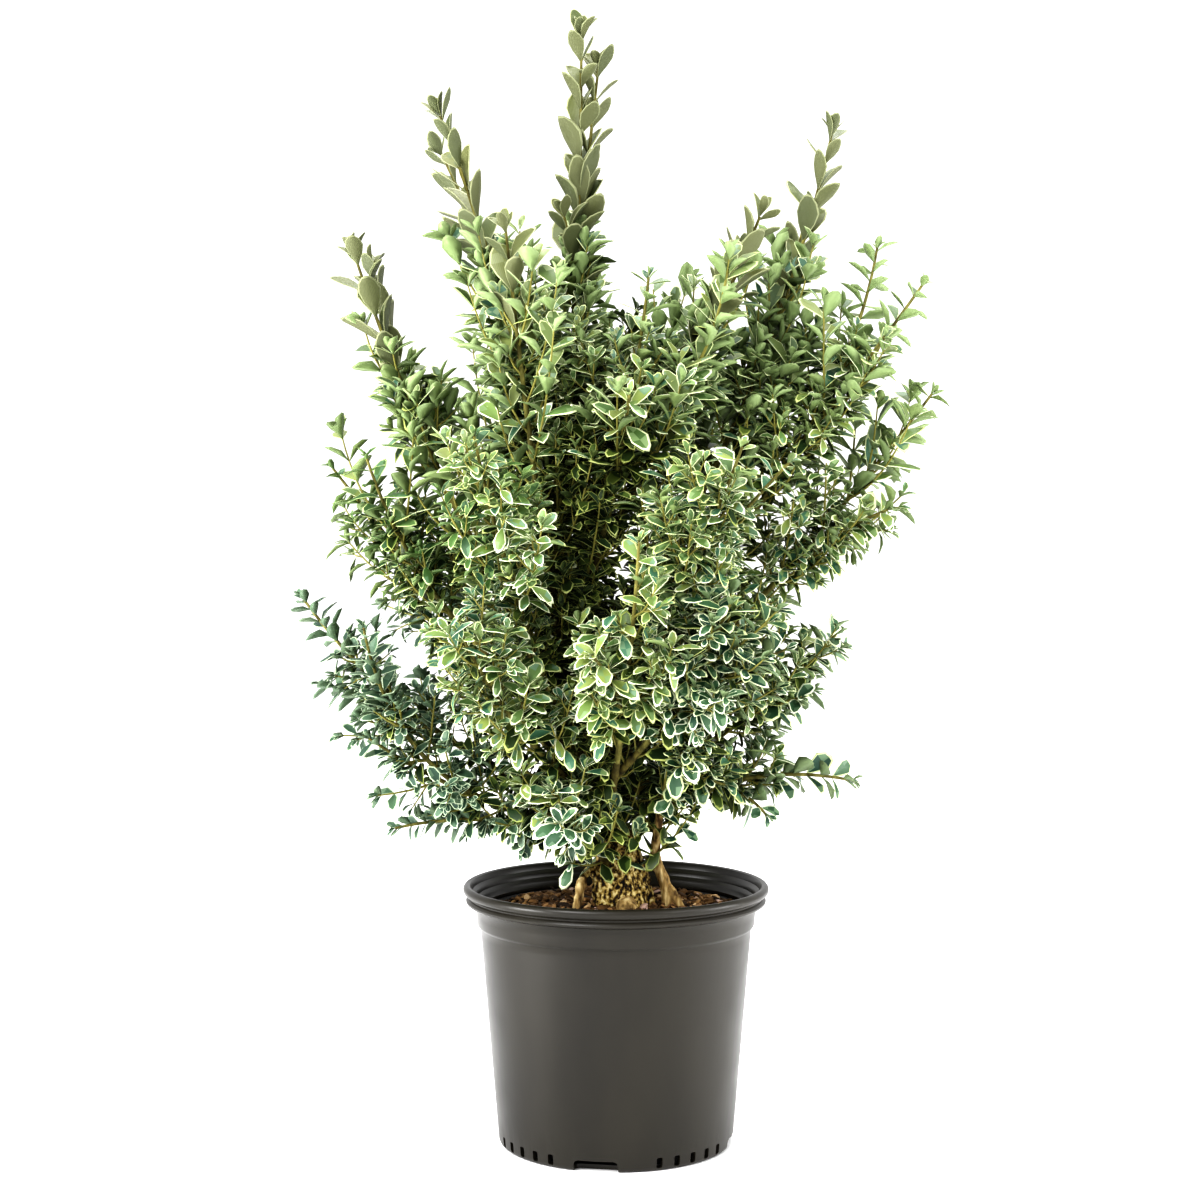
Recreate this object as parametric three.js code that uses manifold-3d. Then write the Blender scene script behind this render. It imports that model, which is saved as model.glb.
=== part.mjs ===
// A variegated boxwood in a round nursery pot.
// Millimetres, +Z up. The origin is the centre of the pot's flat underside, and -Y is the front.
import * as THREE from "three";
import { mergeVertices } from "three/addons/utils/BufferGeometryUtils.js";
import Module from "manifold-3d";

const wasm = await Module();
wasm.setup();

const X_AXIS = new THREE.Vector3(1, 0, 0);
const Z_AXIS = new THREE.Vector3(0, 0, 1);
const DEGREE = Math.PI / 180;
const FULL_TURN = 360;
const GAP = 0.3; // between pieces that touch

// The pot: a blow-moulded nursery container with a rolled lip, and a low collar round the top of its wall.
const POT = {
  height: 204,
  base: 92, // radius of the foot
  shoulder: 106.4, // radius where the wall meets the collar
  shoulderHeight: 171,
  collar: 109,
  collarStep: 2.5, // height over which the wall widens to the collar
  collarTop: 180,
  lip: 120, // radius of the rolled lip
  lipHeight: 198, // where the lip is widest
  lipFoot: 188,
  lipRound: 2.5,
  lipWidth: 7, // of the lip's top
  wall: 2.4,
  floor: 3.5,
  sides: 32,
};
const NOTCH = { first: -10, count: 4, width: 30, height: 8, depth: 11, chamfer: 3.5 };
const SLOT = { count: 5, start: 30.5, step: 9.2, width: 4.4, height: 8, depth: 6 };

// The bark mix, level round the stems and falling a little towards the wall.
const SOIL = { level: 187, levelRadius: 54, edge: 179 };

// The trunk: a flaring burl at the soil, then the stem that runs up through the leaves.
const TRUNK_ROUTE = [
  [0, 0, 180],
  [-1, 0, 208],
  [-6, -4, 254],
  [-24, -12, 286],
  [-36, -24, 346],
  [-48, -40, 428],
  [-45, -40, 490],
  [-38, -30, 551],
  [-36, -22, 580],
];
const TRUNK_GIRTH = [
  [180, 28],
  [195, 22.5],
  [218, 19],
  [240, 12],
  [268, 7.5],
  [350, 5.5],
  [580, 3.2],
]; // height and radius
const TRUNK_SIDES = 10;
const TRUNK_STEPS = 15;
const BURL = { top: 236, fade: 30, lobes: 5, relief: 0.09, twist: 0.25 };
const KNOB = { x: 6, y: -26, radius: 8.5 };
const SPUR = { foot: [-26, -8], lean: [14, 2, 26], radius: 3.4 };

// The second stem, which leans towards the burl and stands on two toes.
const SIDE_STEM = {
  route: [
    [43, -8, 182],
    [38, -7, 206],
    [31, -8, 224],
    [34, -20, 262],
  ],
  foot: 5.4,
  top: 3,
  toe: [51, -12, 182],
};

// The growth of limbs and leaves. Limbs run from the trunk to a tip given by its bearing round the plant
// (0 faces the front, +90 the right), its reach from the pot's axis and its height. A mass's first shoot
// carries side twigs, and its other shoots, which leave the first near its foot, carry leaf pairs only.
const SEED = 41;
const BOUGH = { foot: 4.6, tip: 2.5, sides: 5, steps: 3 };
const STEM = { foot: 2.2, tip: 1.1, sides: 3, steps: 4 };
const TWIG = { foot: 1.5, tip: 1, sides: 3, steps: 1, start: 12, angle: 60, shorter: [1, 0.72, 0.48] };
const TWIG_REACH = { least: 0.75, vary: 0.25, shrink: 0.35, rise: 0.25 };
const LEAF = { length: 62, width: 34, thick: 2.8, rise: 42, small: 0.64, smaller: [1, 0.74], overhang: 26 };
const END_LEAF = { twig: 0.9, shoot: 0.54, twigShare: 0.94 }; // sizes, and where a twig's last leaf sits
const TIP_INSET = 3; // from a shoot's end to its last pair of leaves
const PARTNER = { from: 0.12, step: 0.1, whip: 0.15 }; // a second shoot's foot, and how much longer its whip is
const PAIR_STEP = 66; // between two pairs of leaves on a shoot
const TWIG_STEP = 94; // between two pairs of twigs
const ROOM = 2.4; // how much nearer a leaf lies to its own shoots than to any other mass's
const LIMB_CLEAR = 4;
const LOWEST_LEAF = 211;
const CORE = { from: 0.06, to: 0.6, sides: 5, steps: 3, least: 2.8 };

// One row for each mass. fork: the height where its bough leaves the trunk. bend: how far the limb bows
// outwards and down (or inwards and up if negative), as a share of its length. enter: the share of the
// limb that is bare bough. tips: [bearing, reach, height] of each shoot, the main one first. spread: the
// length of its side twigs. whip: the share of a shoot with leaf pairs and no side twigs.
// core: the radius of its dense heart, if it has one.
const MASSES = [
  { name: "top", fork: null, bend: 0, enter: 0, spread: 40, whip: 0.66, core: 0,
    tips: [[-90, 27, 876], [-134, 17, 852], [-60, 50, 734]] },
  { name: "upper_left", fork: 356, bend: -0.08, enter: 0.42, spread: 58, whip: 0.52, core: 0,
    tips: [[-78, 142, 809], [-109, 151, 787]] },
  { name: "high_left", fork: 330, bend: 0.06, enter: 0.4, spread: 42, whip: 0.42, core: 0,
    tips: [[-90, 207, 707], [-107, 206, 703]] },
  { name: "front_upper_left", fork: 388, bend: 0.02, enter: 0.34, spread: 58, whip: 0.36, core: 15,
    tips: [[-43, 122, 716]] },
  { name: "front_top", fork: 372, bend: 0.06, enter: 0.32, spread: 58, whip: 0.32, core: 16,
    tips: [[20, 74, 684], [4, 130, 588]] },
  { name: "upper_right", fork: 404, bend: 0.04, enter: 0.34, spread: 58, whip: 0.4, core: 14,
    tips: [[62, 127, 729], [79, 101, 704]] },
  { name: "high_right", fork: 345, bend: 0.11, enter: 0.4, spread: 58, whip: 0.46, core: 0,
    tips: [[97, 173, 803], [114, 171, 746]] },
  { name: "far_right", fork: 322, bend: 0.02, enter: 0.44, spread: 56, whip: 0.42, core: 0,
    tips: [[85, 244, 681], [106, 220, 717], [74, 217, 638]] },
  { name: "right", fork: 292, bend: 0.05, enter: 0.42, spread: 56, whip: 0.32, core: 14,
    tips: [[90, 254, 598], [77, 222, 501]] },
  { name: "low_right", fork: 262, bend: 0.08, enter: 0.34, spread: 56, whip: 0.28, core: 14,
    tips: [[96, 185, 409], [71, 156, 356]] },
  { name: "drooping_right", fork: 228, bend: -0.28, enter: 0.3, spread: 44, whip: 0.5, core: 0,
    tips: [[81, 197, 286], [68, 131, 255]] },
  { name: "left", fork: 300, bend: 0.02, enter: 0.38, spread: 58, whip: 0.34, core: 15,
    tips: [[-95, 232, 540], [-75, 199, 547]] },
  { name: "low_left", fork: 262, bend: 0.18, enter: 0.36, spread: 44, whip: 0.42, core: 0,
    tips: [[-90, 253, 440], [-97, 248, 361]] },
  { name: "front_low_left", fork: 244, bend: 0.12, enter: 0.34, spread: 52, whip: 0.3, core: 13,
    tips: [[-73, 207, 332], [-65, 210, 422]] },
  { name: "drooping_left", fork: 224, bend: -0.2, enter: 0.28, spread: 40, whip: 0.8, core: 0,
    tips: [[-75, 188, 251]] },
  { name: "front_left", fork: 318, bend: 0.1, enter: 0.34, spread: 60, whip: 0.26, core: 17,
    tips: [[-37, 175, 563]] },
  { name: "front_right", fork: 312, bend: 0.1, enter: 0.34, spread: 60, whip: 0.26, core: 17,
    tips: [[32, 176, 555], [51, 174, 542]] },
  { name: "front_mid_left", fork: 266, bend: 0.12, enter: 0.3, spread: 56, whip: 0.2, core: 16,
    tips: [[-38, 191, 420]] },
  { name: "front_mid_right", fork: 274, bend: 0.12, enter: 0.3, spread: 56, whip: 0.2, core: 16,
    tips: [[29, 176, 442], [52, 174, 400]] },
  { name: "front_middle", fork: 256, bend: 0.14, enter: 0.26, spread: 56, whip: 0.2, core: 15,
    tips: [[5, 180, 488], [-8, 174, 400]] },
  { name: "foot_left", fork: 214, bend: 0.02, enter: 0.26, spread: 46, whip: 0.2, core: 12,
    tips: [[-28, 113, 296], [-58, 108, 280]] },
  { name: "foot_right", fork: null, bend: 0, enter: 0, spread: 46, whip: 0.2, core: 12,
    tips: [[29, 114, 320], [62, 108, 284]] },
  { name: "foot_back", fork: 216, bend: 0.02, enter: 0.26, spread: 46, whip: 0.2, core: 12,
    tips: [[172, 112, 296], [132, 110, 284]] },
  { name: "back_top", fork: 424, bend: 0.04, enter: 0.3, spread: 60, whip: 0.32, core: 16,
    tips: [[166, 116, 672], [-158, 136, 640]] },
  { name: "back_left", fork: 336, bend: 0.08, enter: 0.34, spread: 60, whip: 0.28, core: 17,
    tips: [[-146, 198, 596]] },
  { name: "back_right", fork: 360, bend: 0.08, enter: 0.34, spread: 60, whip: 0.28, core: 17,
    tips: [[143, 200, 618]] },
  { name: "back_low_left", fork: 280, bend: 0.12, enter: 0.32, spread: 58, whip: 0.22, core: 16,
    tips: [[-136, 204, 432], [-112, 206, 500]] },
  { name: "back_low_right", fork: 286, bend: 0.12, enter: 0.32, spread: 58, whip: 0.22, core: 16,
    tips: [[134, 204, 452]] },
  { name: "back_middle", fork: 240, bend: 0.12, enter: 0.3, spread: 58, whip: 0.2, core: 16,
    tips: [[180, 187, 396]] },
];

const FINISH = {
  pot: new THREE.MeshStandardMaterial({ color: 0x3c3c3a, roughness: 0.42, metalness: 0 }),
  soil: new THREE.MeshStandardMaterial({ color: 0x2b1f18, roughness: 0.95, metalness: 0 }),
  bark: new THREE.MeshStandardMaterial({ color: 0x7d6a38, roughness: 0.85, metalness: 0 }),
  leaf: new THREE.MeshStandardMaterial({ color: 0x5f7f56, roughness: 0.55, metalness: 0 }),
};

/** A repeatable stream of numbers from 0 to 1. */
function randomStream(seed) {
  let state = seed >>> 0;
  return () => {
    state = (state + 0x6d2b79f5) >>> 0;
    let mixed = Math.imul(state ^ (state >>> 15), state | 1);
    mixed ^= mixed + Math.imul(mixed ^ (mixed >>> 7), mixed | 61);
    return ((mixed ^ (mixed >>> 14)) >>> 0) / 4294967296;
  };
}

/** The value at x of a table of [x, value] rows, straight between its rows. */
function interpolate(rows, x) {
  const next = rows.findIndex((row) => row[0] >= x);
  if (next === -1) return rows[rows.length - 1][1];
  if (next === 0) return rows[0][1];
  const [x0, v0] = rows[next - 1];
  const [x1, v1] = rows[next];
  return v0 + ((v1 - v0) * (x - x0)) / (x1 - x0);
}

/** A closed three.js geometry as a solid that can be joined and cut. */
function toSolid(geometry) {
  const bare = geometry.clone();
  bare.deleteAttribute("normal");
  bare.deleteAttribute("uv");
  const merged = mergeVertices(bare, 1e-4);
  return new wasm.Manifold(
    new wasm.Mesh({
      numProp: 3,
      vertProperties: merged.attributes.position.array,
      triVerts: new Uint32Array(merged.index.array),
    }),
  );
}

/** A solid as a named three.js mesh. */
function toMesh(solid, name, finish) {
  const { vertProperties, triVerts } = solid.getMesh();
  const geometry = new THREE.BufferGeometry();
  geometry.setAttribute("position", new THREE.BufferAttribute(vertProperties, 3));
  geometry.setIndex(new THREE.BufferAttribute(triVerts, 1));
  geometry.computeVertexNormals();
  const mesh = new THREE.Mesh(geometry, finish);
  mesh.name = name;
  return mesh;
}

/** The largest body of a solid. Loose scraps go, and so do sealed hollows, which fills them. */
function wholeOf(solid) {
  return solid.decompose().reduce((best, body) => (body.volume() > best.volume() ? body : best));
}

/** A closed tapering tube along a curve. radiusAt takes the share of the length and the angle round it. */
function tube(curve, radiusAt, sides, steps) {
  const profile = new THREE.Shape();
  for (let i = 0; i < sides; i++) {
    const angle = (2 * Math.PI * i) / sides;
    profile[i ? "lineTo" : "moveTo"](Math.cos(angle), Math.sin(angle));
  }
  profile.closePath();
  const geometry = new THREE.ExtrudeGeometry(profile, { steps, extrudePath: curve, bevelEnabled: false });
  const rings = curve.getSpacedPoints(steps);
  const frames = curve.computeFrenetFrames(steps, false);
  const positions = geometry.attributes.position;
  const point = new THREE.Vector3();
  const arm = new THREE.Vector3();
  for (let i = 0; i < positions.count; i++) {
    point.fromBufferAttribute(positions, i);
    let ring = 0;
    rings.forEach((centre, k) => {
      if (point.distanceToSquared(centre) < point.distanceToSquared(rings[ring])) ring = k;
    });
    arm.subVectors(point, rings[ring]);
    const angle = Math.atan2(arm.dot(frames.binormals[ring]), arm.dot(frames.normals[ring]));
    arm.setLength(radiusAt(ring / steps, angle));
    point.addVectors(rings[ring], arm);
    positions.setXYZ(i, point.x, point.y, point.z);
  }
  return toSolid(geometry);
}

/** A radius that runs straight from foot to tip. */
function taper(foot, tip) {
  return (share) => foot + (tip - foot) * share;
}

/** A geometry as a solid turned round the pot's axis. */
function turned(geometry, angle) {
  return toSolid(geometry.clone().rotateZ(angle * DEGREE));
}

// The pot and the soil

/** The pot's inner radius at a height, on the corners of its many-sided wall. */
function innerRadius(height) {
  const slope = (POT.shoulder - POT.base) / POT.shoulderHeight;
  return POT.base + slope * Math.min(height, POT.collarTop) - POT.wall;
}

/** A solid of revolution from [radius, height] points that start and end on the axis. */
function turnedProfile(points) {
  const profile = points.map(([radius, height]) => new THREE.Vector2(radius, height));
  return toSolid(new THREE.LatheGeometry(profile, POT.sides).rotateX(Math.PI / 2));
}

/** The wide notch between two feet of the pot, with sloping ends. */
function notchCutter() {
  const half = NOTCH.width / 2;
  const outline = new THREE.Shape();
  outline.moveTo(-half - NOTCH.chamfer, -1);
  outline.lineTo(half + NOTCH.chamfer, -1);
  outline.lineTo(half, NOTCH.height);
  outline.lineTo(-half, NOTCH.height);
  outline.closePath();
  const depth = 2 * NOTCH.depth;
  return new THREE.ExtrudeGeometry(outline, { depth, bevelEnabled: false })
    .rotateX(Math.PI / 2)
    .translate(0, -POT.base + NOTCH.depth, 0);
}

/** A small drain slot in the pot's bottom edge. */
function slotCutter() {
  return new THREE.BoxGeometry(SLOT.width, 2 * SLOT.depth, 2 * SLOT.height).translate(0, -POT.base, 0);
}

function makePot() {
  let pot = turnedProfile([
    [0, 0],
    [POT.base, 0],
    [POT.shoulder, POT.shoulderHeight],
    [POT.collar, POT.shoulderHeight + POT.collarStep],
    [POT.collar, POT.collarTop],
    [POT.collar + 4, POT.lipFoot - 4],
    [POT.lip - POT.collarStep, POT.lipFoot],
    [POT.lip, POT.lipHeight],
    [POT.lip - POT.lipRound, POT.height],
    [POT.lip - POT.lipWidth, POT.height],
    [innerRadius(POT.lipFoot) + POT.collarStep, POT.lipFoot],
    [innerRadius(POT.collarTop), POT.collarTop],
    [innerRadius(POT.floor), POT.floor],
    [0, POT.floor],
  ]);
  for (let i = 0; i < NOTCH.count; i++) {
    const bearing = NOTCH.first + (i * FULL_TURN) / NOTCH.count;
    pot = pot.subtract(turned(notchCutter(), bearing));
    for (let k = 0; k < SLOT.count; k++) {
      pot = pot.subtract(turned(slotCutter(), bearing + SLOT.start + k * SLOT.step));
    }
  }
  return toMesh(pot, "pot", FINISH.pot);
}

function makeSoil() {
  const floor = POT.floor + GAP;
  const rim = Math.min(SOIL.edge, POT.collarTop);
  return toMesh(
    turnedProfile([
      [0, floor],
      [innerRadius(floor) - GAP, floor],
      [innerRadius(rim) - GAP, rim],
      [(SOIL.levelRadius + POT.collar) / 2, (SOIL.edge + SOIL.level) / 2 - 1],
      [SOIL.levelRadius, SOIL.level],
      [0, SOIL.level],
    ]),
    "soil",
    FINISH.soil,
  );
}

// The trunk, the side stem and the boughs

const trunkCurve = new THREE.CatmullRomCurve3(TRUNK_ROUTE.map((p) => new THREE.Vector3(...p)));

/** The trunk's point at a height. */
function trunkPoint(height) {
  const points = trunkCurve.getSpacedPoints(200);
  return points.find((point) => point.z >= height) ?? points[points.length - 1];
}

/** Everything of a solid that stands above the soil. */
function cutAtSoil(solid) {
  const side = 200;
  const below = new THREE.BoxGeometry(side, side, side).translate(0, 0, SOIL.level + GAP - side / 2);
  return solid.subtract(toSolid(below));
}

/** The trunk's stem, with its lobed burl. extra swells it, for cutting what meets it. */
function trunkStem(extra) {
  const height = new THREE.Vector3();
  const radiusAt = (share, angle) => {
    trunkCurve.getPointAt(share, height);
    const swell = Math.max(0, Math.min(1, (BURL.top + BURL.fade - height.z) / BURL.fade));
    const lobe = Math.sin(BURL.lobes * angle + BURL.twist * height.z);
    return interpolate(TRUNK_GIRTH, height.z) * (1 + BURL.relief * lobe * swell) + extra;
  };
  return tube(trunkCurve, radiusAt, TRUNK_SIDES, TRUNK_STEPS);
}

function makeTrunk() {
  const knob = new THREE.IcosahedronGeometry(KNOB.radius, 1).translate(KNOB.x, KNOB.y, SOIL.level);
  const spurFoot = new THREE.Vector3(...SPUR.foot, SOIL.level - 4);
  const spurTop = spurFoot.clone().add(new THREE.Vector3(...SPUR.lean));
  const spur = tube(new THREE.LineCurve3(spurFoot, spurTop), taper(SPUR.radius, SPUR.radius), 6, 1);
  const trunk = cutAtSoil(trunkStem(0).add(toSolid(knob)).add(spur));
  return toMesh(wholeOf(trunk), "trunk", FINISH.bark);
}

const sideCurve = new THREE.CatmullRomCurve3(SIDE_STEM.route.map((p) => new THREE.Vector3(...p)));

/** The side stem on its two toes. extra swells it, for cutting what meets it. */
function sideStem(extra) {
  const leg = tube(sideCurve, taper(SIDE_STEM.foot + extra, SIDE_STEM.top + extra), 8, 8);
  const toeCurve = new THREE.QuadraticBezierCurve3(
    new THREE.Vector3(...SIDE_STEM.toe),
    new THREE.Vector3(SIDE_STEM.toe[0] - 5, SIDE_STEM.toe[1], SIDE_STEM.toe[2] + 10),
    sideCurve.getPointAt(0.3),
  );
  const toe = tube(toeCurve, taper(SIDE_STEM.top + extra, SIDE_STEM.foot / 2 + extra), 6, 4);
  return leg.add(toe);
}

/** A shoot's tip in space from its bearing, reach and height. */
function tipPoint([bearing, reach, height]) {
  const angle = bearing * DEGREE;
  return new THREE.Vector3(reach * Math.sin(angle), -reach * Math.cos(angle), height);
}

/** A limb's curve between two points, bowed outwards by a share of its length. */
function limbCurve(foot, tip, bend) {
  const chord = new THREE.Vector3().subVectors(tip, foot);
  const outward = new THREE.Vector3(chord.x, chord.y, 0);
  if (outward.lengthSq() < 1) outward.set(0, -1, 0);
  const side = new THREE.Vector3().crossVectors(chord, outward.normalize()).normalize();
  const bow = new THREE.Vector3().crossVectors(side, chord).normalize();
  if (bow.dot(outward) < 0) bow.negate();
  const control = foot.clone().lerp(tip, 0.5).addScaledVector(bow, bend * chord.length());
  return new THREE.QuadraticBezierCurve3(foot, control, tip);
}

/** The part of a limb's curve between two shares of its length. */
function stretch(curve, from, to) {
  const start = curve.getPointAt(from);
  const end = curve.getPointAt(to);
  const middle = curve.getPointAt((from + to) / 2);
  const control = middle.multiplyScalar(2).sub(start.clone().add(end).multiplyScalar(0.5));
  return new THREE.QuadraticBezierCurve3(start, control, end);
}

/** A mass's limb, split into its bough and its shoots. */
function layOut(row) {
  const main = tipPoint(row.tips[0]);
  let bough = null;
  let stem;
  if (row.fork !== null) {
    const whole = limbCurve(trunkPoint(row.fork), main, row.bend);
    const length = whole.getLength();
    bough = stretch(whole, 0, row.enter);
    stem = stretch(whole, row.enter + GAP / length, 1 - LEAF.overhang / length);
  } else {
    const carrier = row.name === "top" ? trunkCurve : sideCurve;
    const end = carrier.getPointAt(1);
    const along = carrier.getTangentAt(1);
    const foot = end.clone().addScaledVector(along, GAP);
    const control = foot.clone().addScaledVector(along, foot.distanceTo(main) / 2);
    const whole = new THREE.QuadraticBezierCurve3(foot, control, main);
    stem = stretch(whole, 0, 1 - LEAF.overhang / whole.getLength());
  }
  const shoots = [stem];
  row.tips.slice(1).forEach((tip, i) => {
    const share = PARTNER.from + PARTNER.step * i;
    const foot = stem.getPointAt(share);
    const end = tipPoint(tip);
    const control = foot.clone().addScaledVector(stem.getTangentAt(share), foot.distanceTo(end) / 2);
    const shoot = new THREE.QuadraticBezierCurve3(foot, control, end);
    shoots.push(stretch(shoot, 0, 1 - LEAF.overhang / shoot.getLength()));
  });
  return { ...row, bough, shoots };
}

const masses = MASSES.map(layOut);

// The room that each mass has

/** A curve as a run of points and the radius at each, for measuring distances from it. */
function track(curve, radiusAt, count) {
  return curve.getSpacedPoints(count).map((point, i) => ({ point, radius: radiusAt(i / count) }));
}

const limbTracks = [
  track(trunkCurve, (share) => interpolate(TRUNK_GIRTH, trunkCurve.getPointAt(share).z), 60),
  track(sideCurve, taper(SIDE_STEM.foot, SIDE_STEM.top), 16),
  ...masses.filter((m) => m.bough).map((m) => track(m.bough, taper(BOUGH.foot, BOUGH.tip), 24)),
];
const shootTracks = masses.map((m) => m.shoots.map((curve) => track(curve, () => 0, 24)));

const onSegment = new THREE.Line3();
const nearest = new THREE.Vector3();

/** The distance from a point to a track, less the track's radius there. */
function distanceTo(trail, point) {
  let best = Infinity;
  for (let i = 1; i < trail.length; i++) {
    onSegment.set(trail[i - 1].point, trail[i].point);
    onSegment.closestPointToPoint(point, true, nearest);
    best = Math.min(best, nearest.distanceTo(point) - trail[i].radius);
  }
  return best;
}

/** The distance from a point to the nearest shoot of one mass. */
function distanceToMass(index, point) {
  return Math.min(...shootTracks[index].map((trail) => distanceTo(trail, point)));
}

/** The room left at a point for a mass: half the way to its nearest neighbour, or the way to a limb. */
function roomAt(index, point) {
  const others = masses.map((_, k) => (k === index ? Infinity : distanceToMass(k, point)));
  const limbs = limbTracks.map((trail) => distanceTo(trail, point));
  return Math.min(Math.min(...others) / 2, ...limbs);
}

/** True if every point lies in a mass's own space, clear of every limb and above the pot. */
function hasRoom(index, points) {
  return points.every((point) => {
    if (point.z < LOWEST_LEAF) return false;
    if (limbTracks.some((trail) => distanceTo(trail, point) < LIMB_CLEAR)) return false;
    const own = distanceToMass(index, point) + ROOM;
    return masses.every((_, k) => k === index || distanceToMass(k, point) > own);
  });
}

// Twigs and leaves

/** A leaf's blade at the origin, pointing along +X with its face up: five points round and a ridge. */
function leafBlade(size) {
  const length = LEAF.length * size;
  const half = (LEAF.width * size) / 2;
  const outline = [
    [0, 0, 0],
    [0.42 * length, -half, 0],
    [0.93 * length, -0.42 * half, 0],
    [0.93 * length, 0.42 * half, 0],
    [0.42 * length, half, 0],
    [0.4 * length, 0, LEAF.thick],
  ];
  const faces = [0, 1, 5, 1, 2, 5, 2, 3, 5, 3, 4, 5, 4, 0, 5, 0, 4, 1, 4, 2, 1, 4, 3, 2];
  const blade = new THREE.BufferGeometry();
  blade.setAttribute("position", new THREE.Float32BufferAttribute(outline.flat(), 3));
  blade.setIndex(faces);
  return blade;
}

/** A leaf with its root at a point, pointing along a direction with its face as near to up as it goes. */
function placedLeaf(root, direction, up, size) {
  const along = direction.clone().normalize();
  const across = new THREE.Vector3().crossVectors(up, along).normalize();
  const face = new THREE.Vector3().crossVectors(along, across);
  const place = new THREE.Matrix4().makeBasis(along, across, face).setPosition(root);
  return leafBlade(size).applyMatrix4(place);
}

/** Points spread over a leaf, for testing its room. */
function leafProbes(blade) {
  const corner = [];
  for (let i = 0; i < blade.attributes.position.count; i++) {
    corner.push(new THREE.Vector3().fromBufferAttribute(blade.attributes.position, i));
  }
  const [root, right, tipRight, tipLeft, left, ridge] = corner;
  const middle = (a, b) => a.clone().lerp(b, 0.5);
  const pairs = [[root, ridge], [right, ridge], [left, ridge], [right, tipRight], [left, tipLeft]];
  const tip = middle(tipRight, tipLeft);
  const between = pairs.map(([a, b]) => middle(a, b));
  return [right, tipRight, tipLeft, left, ridge, tip, middle(tip, ridge), ...between];
}

/** A unit vector square to an axis, turned round it by an angle in degrees. */
function squareTo(axis, turn) {
  const reference = Math.abs(axis.z) > 0.9 ? X_AXIS : Z_AXIS;
  return new THREE.Vector3().crossVectors(axis, reference).normalize().applyAxisAngle(axis, turn * DEGREE);
}

/** The direction that leaves an axis at an angle, in degrees. */
function leaving(axis, outward, angle) {
  const along = axis.clone().multiplyScalar(Math.cos(angle * DEGREE));
  return along.addScaledVector(outward, Math.sin(angle * DEGREE));
}

/** Adds a leaf to a mass's pieces, as large as its space allows, or skips it. */
function addLeaf(out, index, at, direction, up, size) {
  for (const share of LEAF.smaller) {
    const blade = placedLeaf(at, direction, up, size * share);
    if (hasRoom(index, leafProbes(blade))) {
      out.push(toSolid(blade));
      return;
    }
  }
}

/** A pair of leaves on opposite sides of a shoot. */
function leafPair(out, index, at, axis, turn, size) {
  for (const side of [0, 180]) {
    const outward = squareTo(axis, turn + side);
    addLeaf(out, index, at, leaving(axis, outward, LEAF.rise), axis, size);
  }
}

/** The curve of a side twig, which rises a little towards its end. */
function twigCurve(at, axis, turn, length) {
  const start = leaving(axis, squareTo(axis, turn), TWIG.angle);
  const end = at.clone().addScaledVector(start, length).addScaledVector(Z_AXIS, length * TWIG_REACH.rise);
  return new THREE.QuadraticBezierCurve3(at, at.clone().addScaledVector(start, length / 2), end);
}

/** A side twig with its leaves, as long as the mass's space allows, or else a leaf in its place. */
function sideTwig(out, index, at, axis, turn, length, roll) {
  for (const share of TWIG.shorter) {
    const curve = twigCurve(at, axis, turn, length * share);
    const fits = hasRoom(index, curve.getSpacedPoints(6).slice(2));
    if (!fits) continue;
    const along = curve.getTangentAt(1);
    out.push(tube(curve, taper(TWIG.foot, TWIG.tip), TWIG.sides, TWIG.steps));
    if (share === 1) leafPair(out, index, curve.getPointAt(0.5), along, roll + 90, LEAF.small);
    addLeaf(out, index, curve.getPointAt(END_LEAF.twigShare), along, squareTo(along, roll), END_LEAF.twig);
    return;
  }
  addLeaf(out, index, at, leaving(axis, squareTo(axis, turn), LEAF.rise), axis, END_LEAF.twig);
}

/** The leaves and twigs along one shoot: twigs on its lower part, pairs of leaves on its whip. */
function dressShoot(out, index, curve, whip, spread, random) {
  const length = curve.getLength();
  const first = FULL_TURN * random();
  const bare = length * (1 - whip);
  const twigged = spread ? bare : 0;
  let pair = 0;
  for (let way = TWIG.start; way < twigged; way += TWIG_STEP) {
    const share = way / length;
    const at = curve.getPointAt(share);
    for (const side of [0, 180]) {
      const reach = spread * (TWIG_REACH.least + TWIG_REACH.vary * random()) * (1 - TWIG_REACH.shrink * share);
      const turn = first + pair * 90 + side;
      sideTwig(out, index, at, curve.getTangentAt(share), turn, reach, FULL_TURN * random());
    }
    pair++;
  }
  for (let way = Math.max(bare, TWIG.start); way < length - PAIR_STEP / 2; way += PAIR_STEP) {
    const share = way / length;
    const size = 1 - (1 - LEAF.small) * Math.max(0, (share - 0.6) / 0.4);
    leafPair(out, index, curve.getPointAt(share), curve.getTangentAt(share), first + pair * 90, size);
    pair++;
  }
  const tip = curve.getPointAt(1 - TIP_INSET / length);
  leafPair(out, index, tip, curve.getTangentAt(1), first + pair * 90, END_LEAF.shoot);
}

/** The dense heart of a mass, as thick as its space allows. */
function makeCore(index, stem, radius) {
  const inner = stretch(stem, CORE.from, CORE.to);
  const radiusAt = (share) => {
    const room = roomAt(index, inner.getPointAt(share)) - ROOM;
    const bulge = Math.sin(Math.PI * (0.12 + 0.76 * share));
    return Math.max(CORE.least, Math.min(radius * bulge, room));
  };
  return tube(inner, radiusAt, CORE.sides, CORE.steps);
}

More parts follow.
